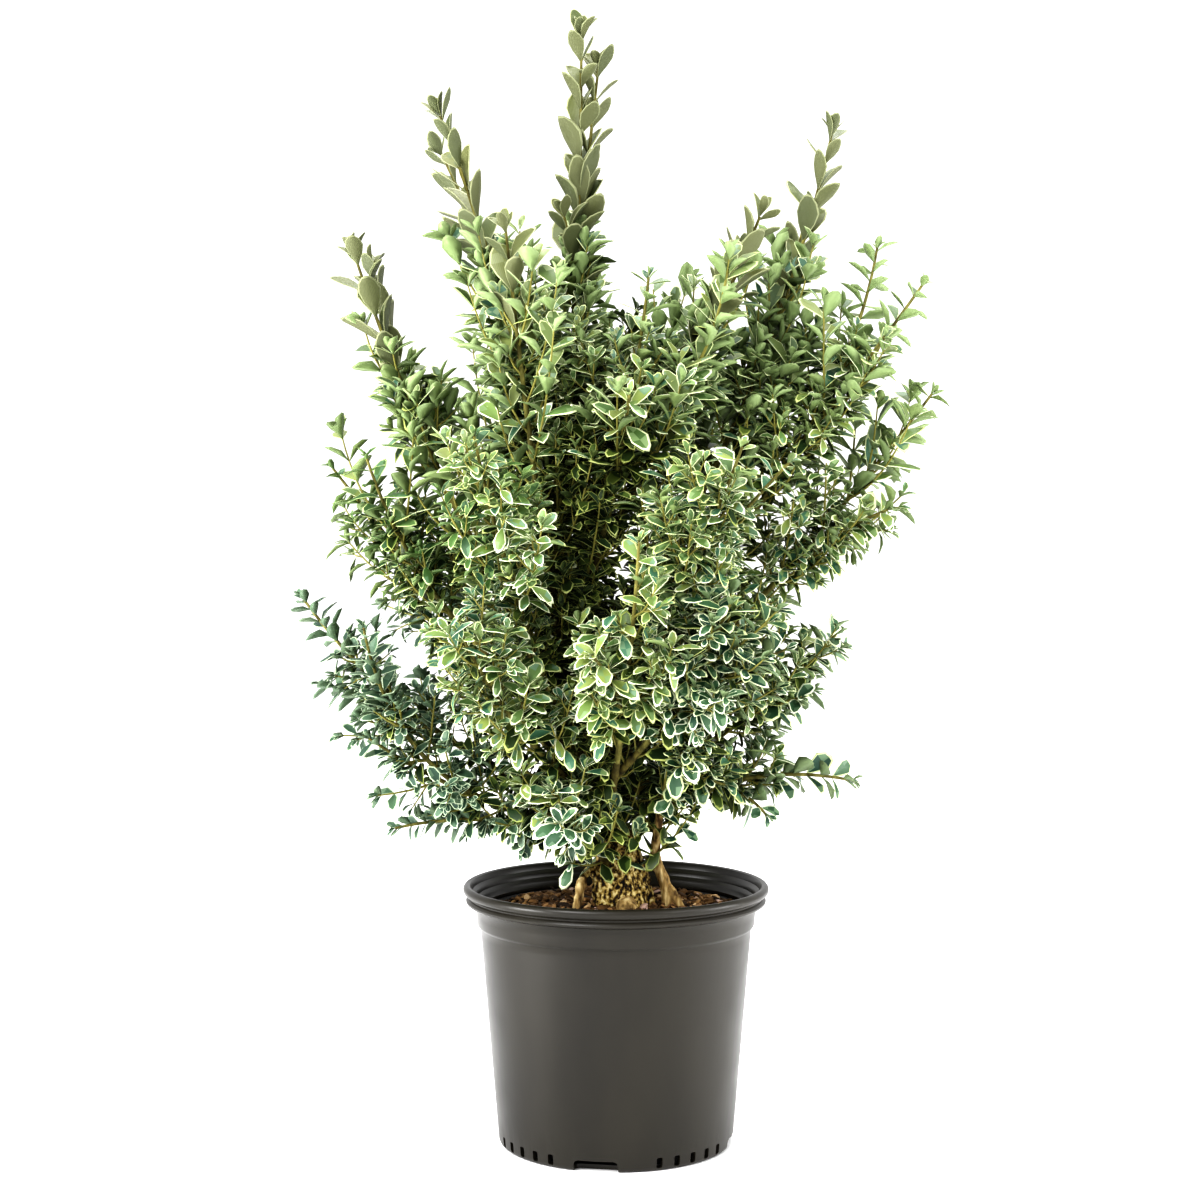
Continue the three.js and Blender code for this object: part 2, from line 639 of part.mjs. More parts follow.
function makeMass(mass, index) {
  const random = randomStream(SEED + index);
  const pieces = mass.shoots.map((curve) => tube(curve, taper(STEM.foot, STEM.tip), STEM.sides, STEM.steps));
  if (mass.core) pieces.push(makeCore(index, mass.shoots[0], mass.core));
  mass.shoots.forEach((curve, k) => {
    dressShoot(pieces, index, curve, mass.whip + (k ? PARTNER.whip : 0), k ? 0 : mass.spread, random);
  });
  const joined = pieces.reduce((whole, piece) => whole.add(piece));
  return toMesh(wholeOf(joined), "foliage_" + mass.name, FINISH.leaf);
}

// The whole plant

const plant = new THREE.Group();
plant.add(makePot(), makeSoil(), makeTrunk());
plant.add(toMesh(wholeOf(cutAtSoil(sideStem(0))), "side_stem", FINISH.bark));

let carried = trunkStem(GAP).add(sideStem(GAP));
for (const mass of masses.filter((m) => m.bough)) {
  const limb = tube(mass.bough, taper(BOUGH.foot, BOUGH.tip), BOUGH.sides, BOUGH.steps);
  const swollen = tube(mass.bough, taper(BOUGH.foot + GAP, BOUGH.tip + GAP), BOUGH.sides, BOUGH.steps);
  plant.add(toMesh(wholeOf(limb.subtract(carried)), "bough_" + mass.name, FINISH.bark));
  carried = carried.add(swollen);
}
masses.forEach((mass, index) => plant.add(makeMass(mass, index)));

export default plant;
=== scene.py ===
import logging
import math
from dataclasses import dataclass, field
from enum import Enum, IntEnum
from typing import Callable, Iterable, Optional

import bpy
import numpy as np
from mathutils import Matrix, Vector
from mathutils.geometry import intersect_point_line

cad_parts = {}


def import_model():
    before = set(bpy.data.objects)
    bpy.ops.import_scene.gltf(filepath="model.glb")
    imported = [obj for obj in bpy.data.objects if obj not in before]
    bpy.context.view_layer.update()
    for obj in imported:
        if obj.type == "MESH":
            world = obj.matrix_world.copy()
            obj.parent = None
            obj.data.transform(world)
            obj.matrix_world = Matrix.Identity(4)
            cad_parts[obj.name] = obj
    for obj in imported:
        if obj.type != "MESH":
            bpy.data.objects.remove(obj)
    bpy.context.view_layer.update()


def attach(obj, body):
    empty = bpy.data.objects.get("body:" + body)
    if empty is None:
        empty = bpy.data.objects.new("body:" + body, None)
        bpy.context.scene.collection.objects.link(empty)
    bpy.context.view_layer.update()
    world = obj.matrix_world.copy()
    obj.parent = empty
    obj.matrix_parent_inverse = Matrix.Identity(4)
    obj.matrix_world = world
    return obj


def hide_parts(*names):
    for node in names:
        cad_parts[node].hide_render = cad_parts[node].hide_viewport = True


# A variegated boxwood in a round nursery pot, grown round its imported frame.
# The plant's own sizes are in millimetres, as in its source. MM turns them into the scene's metres.
MM = 0.001
FULL_TURN = 360.0
HALF_TURN = 180
QUARTER_TURN = 90
SIDES = (0, HALF_TURN)
UPRIGHT = 0.9
BODY = "root"

Colour = tuple[float, float, float]
Screen = tuple[int, int, int]
Triple = tuple[float, float, float]
Span = tuple[float, float]


def clamp(value: float, low: float, high: float) -> float:
    """A value held between two limits."""
    return min(high, max(low, value))


def linear(red: int, green: int, blue: int) -> Colour:
    """A screen colour as the linear colour that a shader takes.

    Args:
        red: its red share, from 0 to 255.
        green: its green share.
        blue: its blue share.

    Returns:
        The three shares from 0 to 1.
    """

    def channel(value: int) -> float:
        """One share, by the screen's own curve."""
        share = value / 255
        return share / 12.92 if share <= 0.04045 else ((share + 0.055) / 1.055) ** 2.4

    return channel(red), channel(green), channel(blue)


# Growth, by the source's rule


class Tone(Enum):
    """The colouring that a spray of leaves can have."""

    WHIP = "olive green with a thin pale edge"
    UPPER = "soft green with a thin cream edge"
    CROWN = "grey green with a cream edge"
    COOL = "blue green with a white edge"
    CRISP = "dark green with a broad cream edge"
    GREEN = "fresh green with a thin yellow green edge"
    # Darker, duller greens that stand in for the shade inside the crown: painted shade, not a leaf colour of
    # its own.
    DEEP = "dull green inside the crown"


@dataclass(frozen=True)
class MassPlan:
    """One mass of foliage and its bough.

    fork is the height where the bough leaves the trunk, and None for a mass that goes on from the end of
    the trunk or the side stem. bend is how far the limb bows outwards and down, as a share of its length.
    enter is the share of the limb that is bare bough. tips are the bearing, reach and height of each shoot.
    spread is the length of its side twigs, and whip the share of a shoot with leaf pairs only.
    """

    name: str
    fork: Optional[float]
    bend: float
    enter: float
    spread: float
    whip: float
    tips: tuple[Triple, ...]
    tone: Tone = Tone.CROWN


MASSES = (
    MassPlan("top", None, 0, 0, 40, 0.66, ((-90, 27, 876), (-134, 17, 852), (-60, 50, 734)), Tone.WHIP),
    MassPlan("upper_left", 356, -0.08, 0.42, 58, 0.52, ((-78, 142, 809), (-109, 151, 787)), Tone.WHIP),
    MassPlan("high_left", 330, 0.06, 0.4, 42, 0.42, ((-90, 207, 707), (-107, 206, 703)), Tone.WHIP),
    MassPlan("front_upper_left", 388, 0.02, 0.34, 58, 0.36, ((-43, 122, 716),), Tone.WHIP),
    MassPlan("front_top", 372, 0.06, 0.32, 58, 0.32, ((20, 74, 684), (4, 130, 588))),
    MassPlan("upper_right", 404, 0.04, 0.34, 58, 0.4, ((62, 127, 729), (79, 101, 704)), Tone.WHIP),
    MassPlan("high_right", 345, 0.11, 0.4, 58, 0.46, ((97, 173, 803), (114, 171, 746)), Tone.WHIP),
    MassPlan("far_right", 322, 0.02, 0.44, 56, 0.42, ((85, 244, 681), (106, 220, 717), (74, 217, 638))),
    MassPlan("right", 292, 0.05, 0.42, 56, 0.32, ((90, 254, 598), (77, 222, 501))),
    MassPlan("low_right", 262, 0.08, 0.34, 56, 0.28, ((96, 185, 409), (71, 156, 356)), Tone.CRISP),
    MassPlan("drooping_right", 228, -0.28, 0.3, 44, 0.5, ((81, 197, 286), (68, 131, 255)), Tone.CRISP),
    MassPlan("left", 300, 0.02, 0.38, 58, 0.34, ((-95, 232, 540), (-75, 199, 547)), Tone.GREEN),
    MassPlan("low_left", 262, 0.18, 0.36, 44, 0.42, ((-90, 253, 440), (-97, 248, 361)), Tone.COOL),
    MassPlan("front_low_left", 244, 0.12, 0.34, 52, 0.3, ((-73, 207, 332), (-65, 210, 422)), Tone.COOL),
    MassPlan("drooping_left", 224, -0.2, 0.28, 40, 0.8, ((-75, 188, 251),), Tone.COOL),
    MassPlan("front_left", 318, 0.1, 0.34, 60, 0.26, ((-37, 175, 563),), Tone.GREEN),
    MassPlan("front_right", 312, 0.1, 0.34, 60, 0.26, ((32, 176, 555), (51, 174, 542))),
    MassPlan("front_mid_left", 266, 0.12, 0.3, 56, 0.2, ((-38, 191, 420),)),
    MassPlan("front_mid_right", 274, 0.12, 0.3, 56, 0.2, ((29, 176, 442), (52, 174, 400)), Tone.CRISP),
    MassPlan("front_middle", 256, 0.14, 0.26, 56, 0.2, ((5, 180, 488), (-8, 174, 400))),
    MassPlan("foot_left", 214, 0.02, 0.26, 46, 0.2, ((-28, 113, 296), (-58, 108, 280)), Tone.CRISP),
    MassPlan("foot_right", None, 0, 0, 46, 0.2, ((29, 114, 320), (62, 108, 284)), Tone.CRISP),
    MassPlan("foot_back", 216, 0.02, 0.26, 46, 0.2, ((172, 112, 296), (132, 110, 284)), Tone.CRISP),
    MassPlan("back_top", 424, 0.04, 0.3, 60, 0.32, ((166, 116, 672), (-158, 136, 640))),
    MassPlan("back_left", 336, 0.08, 0.34, 60, 0.28, ((-146, 198, 596),), Tone.GREEN),
    MassPlan("back_right", 360, 0.08, 0.34, 60, 0.28, ((143, 200, 618),)),
    MassPlan("back_low_left", 280, 0.12, 0.32, 58, 0.22, ((-136, 204, 432), (-112, 206, 500)), Tone.COOL),
    MassPlan("back_low_right", 286, 0.12, 0.32, 58, 0.22, ((134, 204, 452),)),
    MassPlan("back_middle", 240, 0.12, 0.3, 58, 0.2, ((180, 187, 396),)),
)


@dataclass(frozen=True)
class Habit:
    """How a tone's leaves grow.

    length and step, the way between two leaf pairs on a whip, are in millimetres, breadth is a share of the
    length, and rise the angle that a leaf makes with its twig. cream is the pale edge's share of the half
    width, ascent how much the side twigs turn upwards, and arch how much the leaves bend down.
    """

    length: float
    breadth: float
    rise: float
    cream: float
    step: float
    ascent: float
    arch: float


HABITS: dict[Tone, Habit] = {
    Tone.WHIP: Habit(35, 0.46, 26, 0.12, 23, 1.4, 0.5),
    Tone.UPPER: Habit(27, 0.5, 36, 0.14, 18, 1.6, 0.9),
    Tone.CROWN: Habit(20, 0.5, 56, 0.2, 13, 1.6, 1.5),
    Tone.COOL: Habit(17, 0.54, 50, 0.2, 7.5, 0.35, 1.0),
    Tone.CRISP: Habit(20, 0.56, 54, 0.24, 11, 0.8, 1.1),
    Tone.GREEN: Habit(19.5, 0.5, 56, 0.15, 13, 1.6, 1.5),
    Tone.DEEP: Habit(19, 0.46, 58, 0.18, 13, 1.6, 1.5),
}


class RandomStream:
    """A repeatable stream of numbers from 0 to 1, the same as the source's."""

    MASK = 0xFFFFFFFF

    def __init__(self, seed: int) -> None:
        """Starts the stream at a seed."""
        self.state = seed & self.MASK

    def next(self) -> float:
        """The next number."""
        self.state = (self.state + 0x6D2B79F5) & self.MASK
        mixed = ((self.state ^ (self.state >> 15)) * (self.state | 1)) & self.MASK
        mixed ^= (mixed + ((mixed ^ (mixed >> 7)) * (mixed | 61) & self.MASK)) & self.MASK
        return (mixed ^ (mixed >> 14)) / (self.MASK + 1)

    def between(self, low: float, high: float) -> float:
        """The next number, spread between two limits."""
        return low + (high - low) * self.next()

    def within(self, limit: float) -> float:
        """The next number, spread as far below zero as above it."""
        return self.between(-limit, limit)


def unit(vector: np.ndarray) -> np.ndarray:
    """A vector at length one."""
    return vector / max(float(np.linalg.norm(vector)), 1e-9)


@dataclass(frozen=True)
class Spot:
    """A place on a stem: the point, and the stem's direction there."""

    at: np.ndarray
    axis: np.ndarray


class Route:
    """A smooth line through space that can be asked for the point at a share of its length."""

    SAMPLES = 160
    KNOT_SAMPLES = 40
    SHORT_WAY = 0.01

    def __init__(self, points: np.ndarray) -> None:
        """Takes the dense run of points along the line."""
        self.points = points
        steps = np.linalg.norm(np.diff(points, axis=0), axis=1)
        self.ways = np.concatenate([[0.0], np.cumsum(steps)])
        self.length = float(self.ways[-1])

    @classmethod
    def bow(cls, foot: np.ndarray, control: np.ndarray, tip: np.ndarray) -> "Route":
        """A quadratic curve.

        Args:
            foot: where it starts.
            control: the point that it is drawn towards.
            tip: where it ends.

        Returns:
            The route.
        """
        t = np.linspace(0, 1, cls.SAMPLES + 1)[:, None]
        return cls((1 - t) ** 2 * foot + 2 * t * (1 - t) * control + t**2 * tip)

    @classmethod
    def through(cls, knots: Iterable[Triple]) -> "Route":
        """A centripetal Catmull-Rom curve.

        Args:
            knots: the points that it runs through.

        Returns:
            The route.
        """
        given = [np.array(knot, float) for knot in knots]
        padded = [2 * given[0] - given[1], *given, 2 * given[-1] - given[-2]]
        t = np.linspace(0, 1, cls.KNOT_SAMPLES + 1)[:, None]
        runs = []
        for a, b, c, d in zip(padded, padded[1:], padded[2:], padded[3:]):
            before, across, after = (math.sqrt(np.linalg.norm(q - p)) for p, q in ((a, b), (b, c), (c, d)))
            leave = ((b - a) / before - (c - a) / (before + across) + (c - b) / across) * across
            arrive = ((c - b) / across - (d - b) / (across + after) + (d - c) / after) * across
            cubic = b + leave * t + (3 * (c - b) - 2 * leave - arrive) * t**2
            runs.append((cubic + (2 * (b - c) + leave + arrive) * t**3)[:-1])
        return cls(np.vstack([*runs, given[-1][None]]))

    def at(self, share: float) -> np.ndarray:
        """The point at a share of the length."""
        way = clamp(share, 0.0, 1.0) * self.length
        return np.array([np.interp(way, self.ways, self.points[:, k]) for k in range(3)])

    def along(self, share: float) -> np.ndarray:
        """The direction of travel at a share of the length."""
        return unit(self.at(min(share + self.SHORT_WAY, 1)) - self.at(max(share - self.SHORT_WAY, 0)))

    def spot(self, share: float) -> Spot:
        """The point and the direction of travel at a share of the length."""
        return Spot(self.at(share), self.along(share))

    def spaced(self, count: int) -> np.ndarray:
        """Evenly spaced points, both ends included."""
        ways = np.linspace(0, self.length, count + 1)
        return np.stack([np.interp(ways, self.ways, self.points[:, k]) for k in range(3)], axis=1)

    def stretch(self, start: float, end: float) -> "Route":
        """The part of the route between two shares of its length."""
        ways = np.linspace(start, end, self.SAMPLES + 1) * self.length
        return Route(np.stack([np.interp(ways, self.ways, self.points[:, k]) for k in range(3)], axis=1))


def tip_point(tip: Triple) -> np.ndarray:
    """A shoot's tip in space.

    Args:
        tip: its bearing from the front in degrees, its reach from the pot's axis and its height.

    Returns:
        The point.
    """
    bearing, reach, height = tip
    angle = math.radians(bearing)
    return np.array([reach * math.sin(angle), -reach * math.cos(angle), height])


def limb_route(foot: np.ndarray, tip: np.ndarray, bend: float) -> Route:
    """A limb's route between two points.

    Args:
        foot: where it leaves the trunk.
        tip: where it ends.
        bend: how far it bows outwards, as a share of its length.

    Returns:
        The route.
    """
    chord = tip - foot
    outward = unit(np.array([chord[0], chord[1], 0]))
    bow = unit(np.cross(unit(np.cross(chord, outward)), chord))
    if bow @ outward < 0:
        bow = -bow
    return Route.bow(foot, (foot + tip) / 2 + bow * bend * np.linalg.norm(chord), tip)


def square_to(axis: np.ndarray, turn: float) -> np.ndarray:
    """A direction square to an axis.

    Args:
        axis: the axis, at length one.
        turn: the bearing round it, in degrees.

    Returns:
        The direction, at length one.
    """
    upright = abs(axis[2]) > UPRIGHT
    start = unit(np.cross(axis, np.array([1.0, 0, 0]) if upright else np.array([0, 0, 1.0])))
    angle = math.radians(turn)
    return start * math.cos(angle) + np.cross(axis, start) * math.sin(angle)


def leaving(axis: np.ndarray, outward: np.ndarray, angle: float) -> np.ndarray:
    """The direction that leaves an axis outwards at an angle, in degrees."""
    return axis * math.cos(math.radians(angle)) + outward * math.sin(math.radians(angle))


@dataclass
class Wood:
    """A stretch of stem: its route, and the radius at its foot and tip in millimetres."""

    route: Route
    foot: float
    tip: float


@dataclass
class Leaf:
    """One leaf: where it is rooted, how it lies, its length in millimetres, and its colouring."""

    root: np.ndarray
    direction: np.ndarray
    face: np.ndarray
    length: float
    breadth: float
    tone: Tone
    spray: int
    vigour: float


@dataclass
class Growth:
    """The whole plant's skeleton and leaves, worked out before any mesh is made.

    index is the place in the list of the mass that is being grown, and -1 inside the crown, where no mass
    has a space of its own. random is its stream of numbers.
    """

    SHOOT_MARKS = 30
    BOUGH_MARKS = 24
    TRUNK_MARKS = 60
    SIDE_MARKS = 16

    seed: int = 41

    # Radii of the wood at foot and tip
    bough_radii: Span = (4.6, 2.5)
    stem_radii: Span = (2.2, 1.0)
    twig_radii: Span = (1.1, 0.6)
    sprig_radii: Span = (0.75, 0.45)

    # Side twigs on a shoot: where they start, how far apart they are and how far they reach
    twig_start: float = 12
    twig_step: float = 22
    open_step: float = 1.3
    twig_reach: Span = (0.65, 1.75)
    twig_taper: float = 0.35
    whip_taper: float = 0.85
    twig_waver: float = 18
    thin_to: float = 800
    thin_over: float = 200
    thin_least: float = 0.45
    crown_share: float = 0.35

    # Their shape: the angle with the stem, the share that runs straight, and shorter tries for want of room
    twig_angle: float = 56
    twig_lean: float = 16
    twig_straight: float = 0.4
    ascent_waver: Span = (0.6, 1.2)
    twig_tries: Triple = (1.0, 0.72, 0.48)
    room_at: float = 0.6

    # Whiplets: steep leafy twigs that stand out of the upper crown
    whiplets_from: float = 470
    whiplets: float = 0.42
    whiplet_reach: Span = (1.0, 2.0)
    whiplet_to: float = 760
    whiplet_over: float = 160
    whiplet_angle: float = 40
    whiplet_ascent: float = 2.6
    upright_ascent: float = 1.5

    # Sprigs on a side twig
    forked_from: float = 24
    sprig_margin: float = 12
    sprig_step: float = 14
    sprig_reach: Span = (0.5, 0.8)
    sprig_most: float = 26
    sprig_least: float = 9
    sprig_gaps: float = 0.45
    sprig_angle: float = 48
    sprig_waver: float = 30
    sprig_leaf: float = 0.86

    # Leaf pairs on a whip, and the sprigs at its foot
    whip_grown: float = 120
    whip_growth: float = 1.22
    whip_swell: Triple = (0.78, 0.36, 0.2)
    whip_closing: Span = (1.1, 0.35)
    whip_step_waver: Span = (0.85, 1.15)
    whip_end: float = 4
    whip_tip_leaf: float = 0.62
    foot_sprigs: float = 0.14
    foot_sprig_reach: Span = (0.3, 0.55)
    foot_sprig_angle: float = 36

    # Leaf pairs on a twig, and the young ones at its end
    first_pair: float = 6
    first_sprig_pair: float = 5
    pair_step: float = 11
    # shaded_way: the pairs this close to a twig's foot take the darker greens of painted shade.
    shaded_way: float = 15
    twig_end: float = 2
    tip_gap: float = 3
    tip_leaf: float = 0.7
    tip_shrink: float = 0.2
    tip_rise: float = 24

    # A leaf's own waver round its habit
    size_on_twig: Span = (0.8, 1.1)
    size_waver: Span = (0.86, 1.12)
    breadth_waver: Span = (0.88, 1.1)
    turn_waver: float = 16
    rise_waver: Span = (-14, 16)
    roll_waver: float = 0.45
    face_along: float = 0.4
    skyward: float = 3.0
    leaf_room_at: float = 0.7

    # Twigs inside the crown, on the trunk, the side stem and the boughs
    inner_starts: Triple = (0.12, 0.25, 0.2)
    inner_step: float = 9
    inner_reach: Span = (28, 84)
    inner_angle: float = 52
    stem_leaves: Span = (325, 578)
    stem_top: float = 579
    stem_ahead: float = 6
    stem_pair_step: float = 13
    stem_turn: float = 20
    stem_leaf: Span = (0.95, 1.25)
    stem_vigour: float = 0.5
    forward_waver: float = 55
    forward_reach: Span = (50, 112)
    backward_waver: float = 70
    backward_reach: Span = (50, 120)

    # Where a tone gives way to another, and where leaves take the darker greens painted as shade inside the
    # crown
    shade_within: float = 92
    shade_waver: Span = (0.8, 0.4)
    shade_heights: Span = (228, 550)
    deep_foot: float = 310
    deep_foot_share: float = 0.5
    shade_vigour: float = 0.5
    crown_below: float = 610
    crown_over: float = 90
    upper_above: float = 530
    upper_over: float = 110

    # The partners of a mass's first shoot
    partner_from: float = 0.12
    partner_step: float = 0.1
    partner_whip: float = 0.15
    tip_inset: float = 13

    # Room: the stem's window, the dark hollows (x, z, half width, half height, front), and the clearances
    window: Triple = (2.5, 400, 540)
    hollows: tuple[tuple[float, float, float, float, float], ...] = (
        (-5, 452, 17, 24, -60),
        (17, 300, 20, 32, -40),
    )
    lowest_leaf: float = 210
    lowest_twig: float = 218
    limb_clear: float = 2.5
    neighbour_slack: float = 24

    trunk_route: tuple[Triple, ...] = (
        *((0, 0, 180), (-1, 0, 208), (-6, -4, 254), (-24, -12, 286), (-36, -24, 346)),
        *((-48, -40, 428), (-45, -40, 490), (-38, -30, 551), (-36, -22, 580)),
    )
    side_route: tuple[Triple, ...] = ((43, -8, 182), (38, -7, 206), (31, -8, 224), (34, -20, 262))
    boughs: list[Wood] = field(default_factory=list)
    stems: list[Wood] = field(default_factory=list)
    twigs: list[Wood] = field(default_factory=list)
    leaves: list[Leaf] = field(default_factory=list)

    def __post_init__(self) -> None:
        """Draws the trunk and the side stem."""
        self.trunk = Route.through(self.trunk_route)
        self.side_stem = Route.through(self.side_route)
        self.sprays = 0
        self.take_up(-1)

    def take_up(self, index: int) -> None:
        """Turns to a mass, or to the crown's inside, with its own stream of numbers."""
        self.index = index
        self.random = RandomStream(self.seed + index)

    def trunk_point(self, height: float) -> np.ndarray:
        """The trunk's point at a height."""
        return self.trunk.points[np.searchsorted(self.trunk.points[:, 2], height)]

    def shoots_of(self, plan: MassPlan) -> tuple[Optional[Route], list[Route]]:
        """A mass's limb.

        Args:
            plan: the mass.

        Returns:
            The bare bough, if the mass has one, and the shoots in its foliage, the main one first.
        """
        main = tip_point(plan.tips[0])
        if plan.fork is None:
            carrier = self.trunk if plan.name == "top" else self.side_stem
            foot, along = carrier.at(1), carrier.along(1)
            bough = None
            stem = Route.bow(foot, foot + along * np.linalg.norm(main - foot) / 2, main)
        else:
            whole = limb_route(self.trunk_point(plan.fork), main, plan.bend)
            bough, stem = whole.stretch(0, plan.enter), whole.stretch(plan.enter, 1)
        shoots = [stem]
        for i, tip in enumerate(plan.tips[1:]):
            share = self.partner_from + self.partner_step * i
            foot, end = stem.at(share), tip_point(tip)
            shoots.append(Route.bow(foot, foot + stem.along(share) * np.linalg.norm(end - foot) / 2, end))
        return bough, [shoot.stretch(0, 1 - self.tip_inset / shoot.length) for shoot in shoots]

    def grow(self) -> None:
        """Grows every mass, each in the space that is nearest to its own shoots."""
        laid = [self.shoots_of(plan) for plan in MASSES]
        samples = [np.vstack([route.spaced(self.SHOOT_MARKS) for route in shoots]) for _, shoots in laid]
        self.markers = np.vstack(samples)
        self.owners = np.concatenate([np.full(len(run), k) for k, run in enumerate(samples)])
        limbs = [self.trunk.spaced(self.TRUNK_MARKS), self.side_stem.spaced(self.SIDE_MARKS)]
        limbs += [bough.spaced(self.BOUGH_MARKS) for bough, _ in laid if bough]
        self.limbs = np.vstack(limbs)
        for index, (plan, (bough, shoots)) in enumerate(zip(MASSES, laid)):
            if bough:
                self.boughs.append(Wood(bough, *self.bough_radii))
            self.take_up(index)
            for k, shoot in enumerate(shoots):
                foot = self.bough_radii[1] if bough and not k else self.stem_radii[0]
                self.stems.append(Wood(shoot, foot, self.stem_radii[1]))
                self.dress_shoot(plan, shoot, k)
        self.take_up(-1)
        self.dress_inside()

    def has_room(self, point: np.ndarray) -> bool:
        """Tells whether a twig or leaf may reach a point.

        Args:
            point: the point.

        Returns:
            True if it lies in the mass's own space, clear of the limbs and above the pot.
        """
        if point[2] < self.lowest_leaf:
            return False
        if np.min(np.linalg.norm(self.limbs - point, axis=1)) < self.limb_clear:
            return False
        if self.hides_trunk(point) or self.fills_hollow(point):
            return False
        if self.index < 0:
            return True
        ways = np.linalg.norm(self.markers - point, axis=1)
        own = ways[self.owners == self.index].min()
        return own < ways[self.owners != self.index].min() + self.neighbour_slack

    def hides_trunk(self, point: np.ndarray) -> bool:
        """Tells whether a point hides the stretch of stem that shows between the leaves.

        Args:
            point: the point.

        Returns:
            True if it lies right in front of the stretch.
        """
        half, low, high = self.window
        if not low < point[2] < high:
            return False
        stem = self.trunk_point(point[2])
        return bool(point[1] < stem[1] and abs(point[0] - stem[0]) < half)

    def fills_hollow(self, point: np.ndarray) -> bool:
        """Tells whether a point lies in an opening between the sprays, which looks in to the dark.

        Args:
            point: the point.

        Returns:
            True if it lies in one of the hollows, in front of its depth.
        """
        return any(
            point[1] < front and ((point[0] - x) / wide) ** 2 + ((point[2] - z) / high) ** 2 < 1
            for x, z, wide, high, front in self.hollows
        )

    def dress_shoot(self, plan: MassPlan, shoot: Route, rank: int) -> None:
        """Grows the twigs on a shoot's lower part and the leaf pairs of its whip.

        Args:
            plan: the mass.
            shoot: the shoot's route.
            rank: 0 for the mass's first shoot.
        """
        random = self.random
        whip = plan.whip + (self.partner_whip if rank else 0)
        bare = shoot.length * (1 - whip)
        first = FULL_TURN * random.next()
        taper = self.whip_taper if plan.tone is Tone.WHIP else self.twig_taper
        step = self.twig_step * (self.open_step if plan.tone is Tone.COOL else 1)
        pair, way = 0, self.twig_start
        while way < bare:
            spot = shoot.spot(way / shoot.length)
            height = spot.at[2]
            thin = clamp((self.thin_to - height) / self.thin_over, self.thin_least, 1)
            fade = min(1.0, (self.whiplet_to - height) / self.whiplet_over)
            for side in SIDES:
                reach = plan.spread * random.between(*self.twig_reach) * (1 - taper * (way / bare) ** 2)
                turn = first + pair * QUARTER_TURN + side + random.within(self.twig_waver)
                tone = self.twig_tone(plan.tone)
                if height > self.whiplets_from and random.next() < self.whiplets:
                    reach = plan.spread * random.between(*self.whiplet_reach) * fade
                    self.side_twig(Tone.UPPER, spot, turn, reach, self.whiplet_angle, self.whiplet_ascent)
                else:
                    self.side_twig(tone, spot, turn, reach * thin)
            pair += 1
            way += step
        self.whip_leaves(plan, shoot, bare, first + pair * QUARTER_TURN)

    def twig_tone(self, tone: Tone) -> Tone:
        """A side twig's tone: softer than a whip's, and now and then the crown's in other masses."""
        if tone is Tone.WHIP:
            return Tone.UPPER
        mixed = tone in (Tone.GREEN, Tone.CRISP) and self.random.next() < self.crown_share
        return Tone.CROWN if mixed else tone

    def whip_leaves(self, plan: MassPlan, shoot: Route, bare: float, turn: float) -> None:
        """The leaf pairs of a whip, with a few short upright sprigs where it leaves the crown.

        Args:
            plan: the mass.
            shoot: the shoot that ends in the whip.
            bare: how far up the shoot the whip begins.
            turn: the first pair's bearing round the shoot.
        """
        random = self.random
        rest = max(shoot.length - bare, 1)
        vigour = min(1.0, rest / self.whip_grown)
        habit = HABITS[plan.tone]
        full = habit.length * (1.0 if plan.tone is Tone.WHIP else self.whip_growth)
        least, swell, lead = self.whip_swell
        apart, closing = self.whip_closing
        self.sprays += 1
        way, pair = bare, 0
        while way < shoot.length - self.whip_end:
            share = (way - bare) / rest
            spot = shoot.spot(way / shoot.length)
            bearing = turn + pair * QUARTER_TURN
            length = full * (least + swell * math.sin(math.pi * min(share + lead, 1)))
            self.leaf_pair(plan.tone, spot, bearing, length, vigour)
            if share < self.foot_sprigs:
                for side in SIDES:
                    reach = plan.spread * random.between(*self.foot_sprig_reach)
                    outward = bearing + side + random.within(self.sprig_waver)
                    tone = self.twig_tone(plan.tone)
                    self.side_twig(tone, spot, outward, reach, self.foot_sprig_angle)
            pair += 1
            way += habit.step * (apart - closing * share) * random.between(*self.whip_step_waver)
        self.tip_leaves(plan.tone, shoot, turn, habit.length * self.whip_tip_leaf, vigour)

    def tip_leaves(self, tone: Tone, route: Route, turn: float, length: float, vigour: float) -> None:
        """The two pairs of young leaves that close round the end of a shoot or twig.

        Args:
            tone: their tone.
            route: the shoot or twig.
            turn: the bearing that they are set off from.
            length: the outer pair's length.
            vigour: 0 for a twig of the crown, up to 1 for a long whip.
        """
        for k, share in enumerate((1 - self.tip_gap / route.length, 1.0)):
            bearing = turn + QUARTER_TURN / 2 + QUARTER_TURN * k
            size = length * (1 - self.tip_shrink * k)
            self.leaf_pair(tone, route.spot(share), bearing, size, vigour, self.tip_rise)

    def side_twig(
        self, tone: Tone, spot: Spot, turn: float, length: float, angle: float = 0, ascent: float = 0
    ) -> None:
        """A side twig with its leaf pairs and its own sprigs.

        Args:
            tone: its leaves' tone.
            spot: where it leaves the stem.
            turn: the bearing round the stem.
            length: the length that it would like to have.
            angle: the angle that it makes with the stem, if it isn't the usual one.
            ascent: how much it turns upwards, if it isn't as its tone's habit has it.
        """
        lean = angle or self.twig_angle - self.twig_lean * self.random.next()
        ascent = (ascent or HABITS[tone].ascent) * self.random.between(*self.ascent_waver)
        for share in self.twig_tries:
            route = self.twig_route(spot, turn, length * share, lean, ascent)
            if self.has_room(route.at(1)) and self.has_room(route.at(self.room_at)):
                break
        else:
            return
        self.sprays += 1
        self.twigs.append(Wood(route, *self.twig_radii))
        sparse = ascent > self.upright_ascent and angle > 0
        self.dress_twig(tone, route, self.first_pair, sparse=sparse)
        if route.length >= self.forked_from and not angle:
            self.add_sprigs(tone, route, ascent / 2)

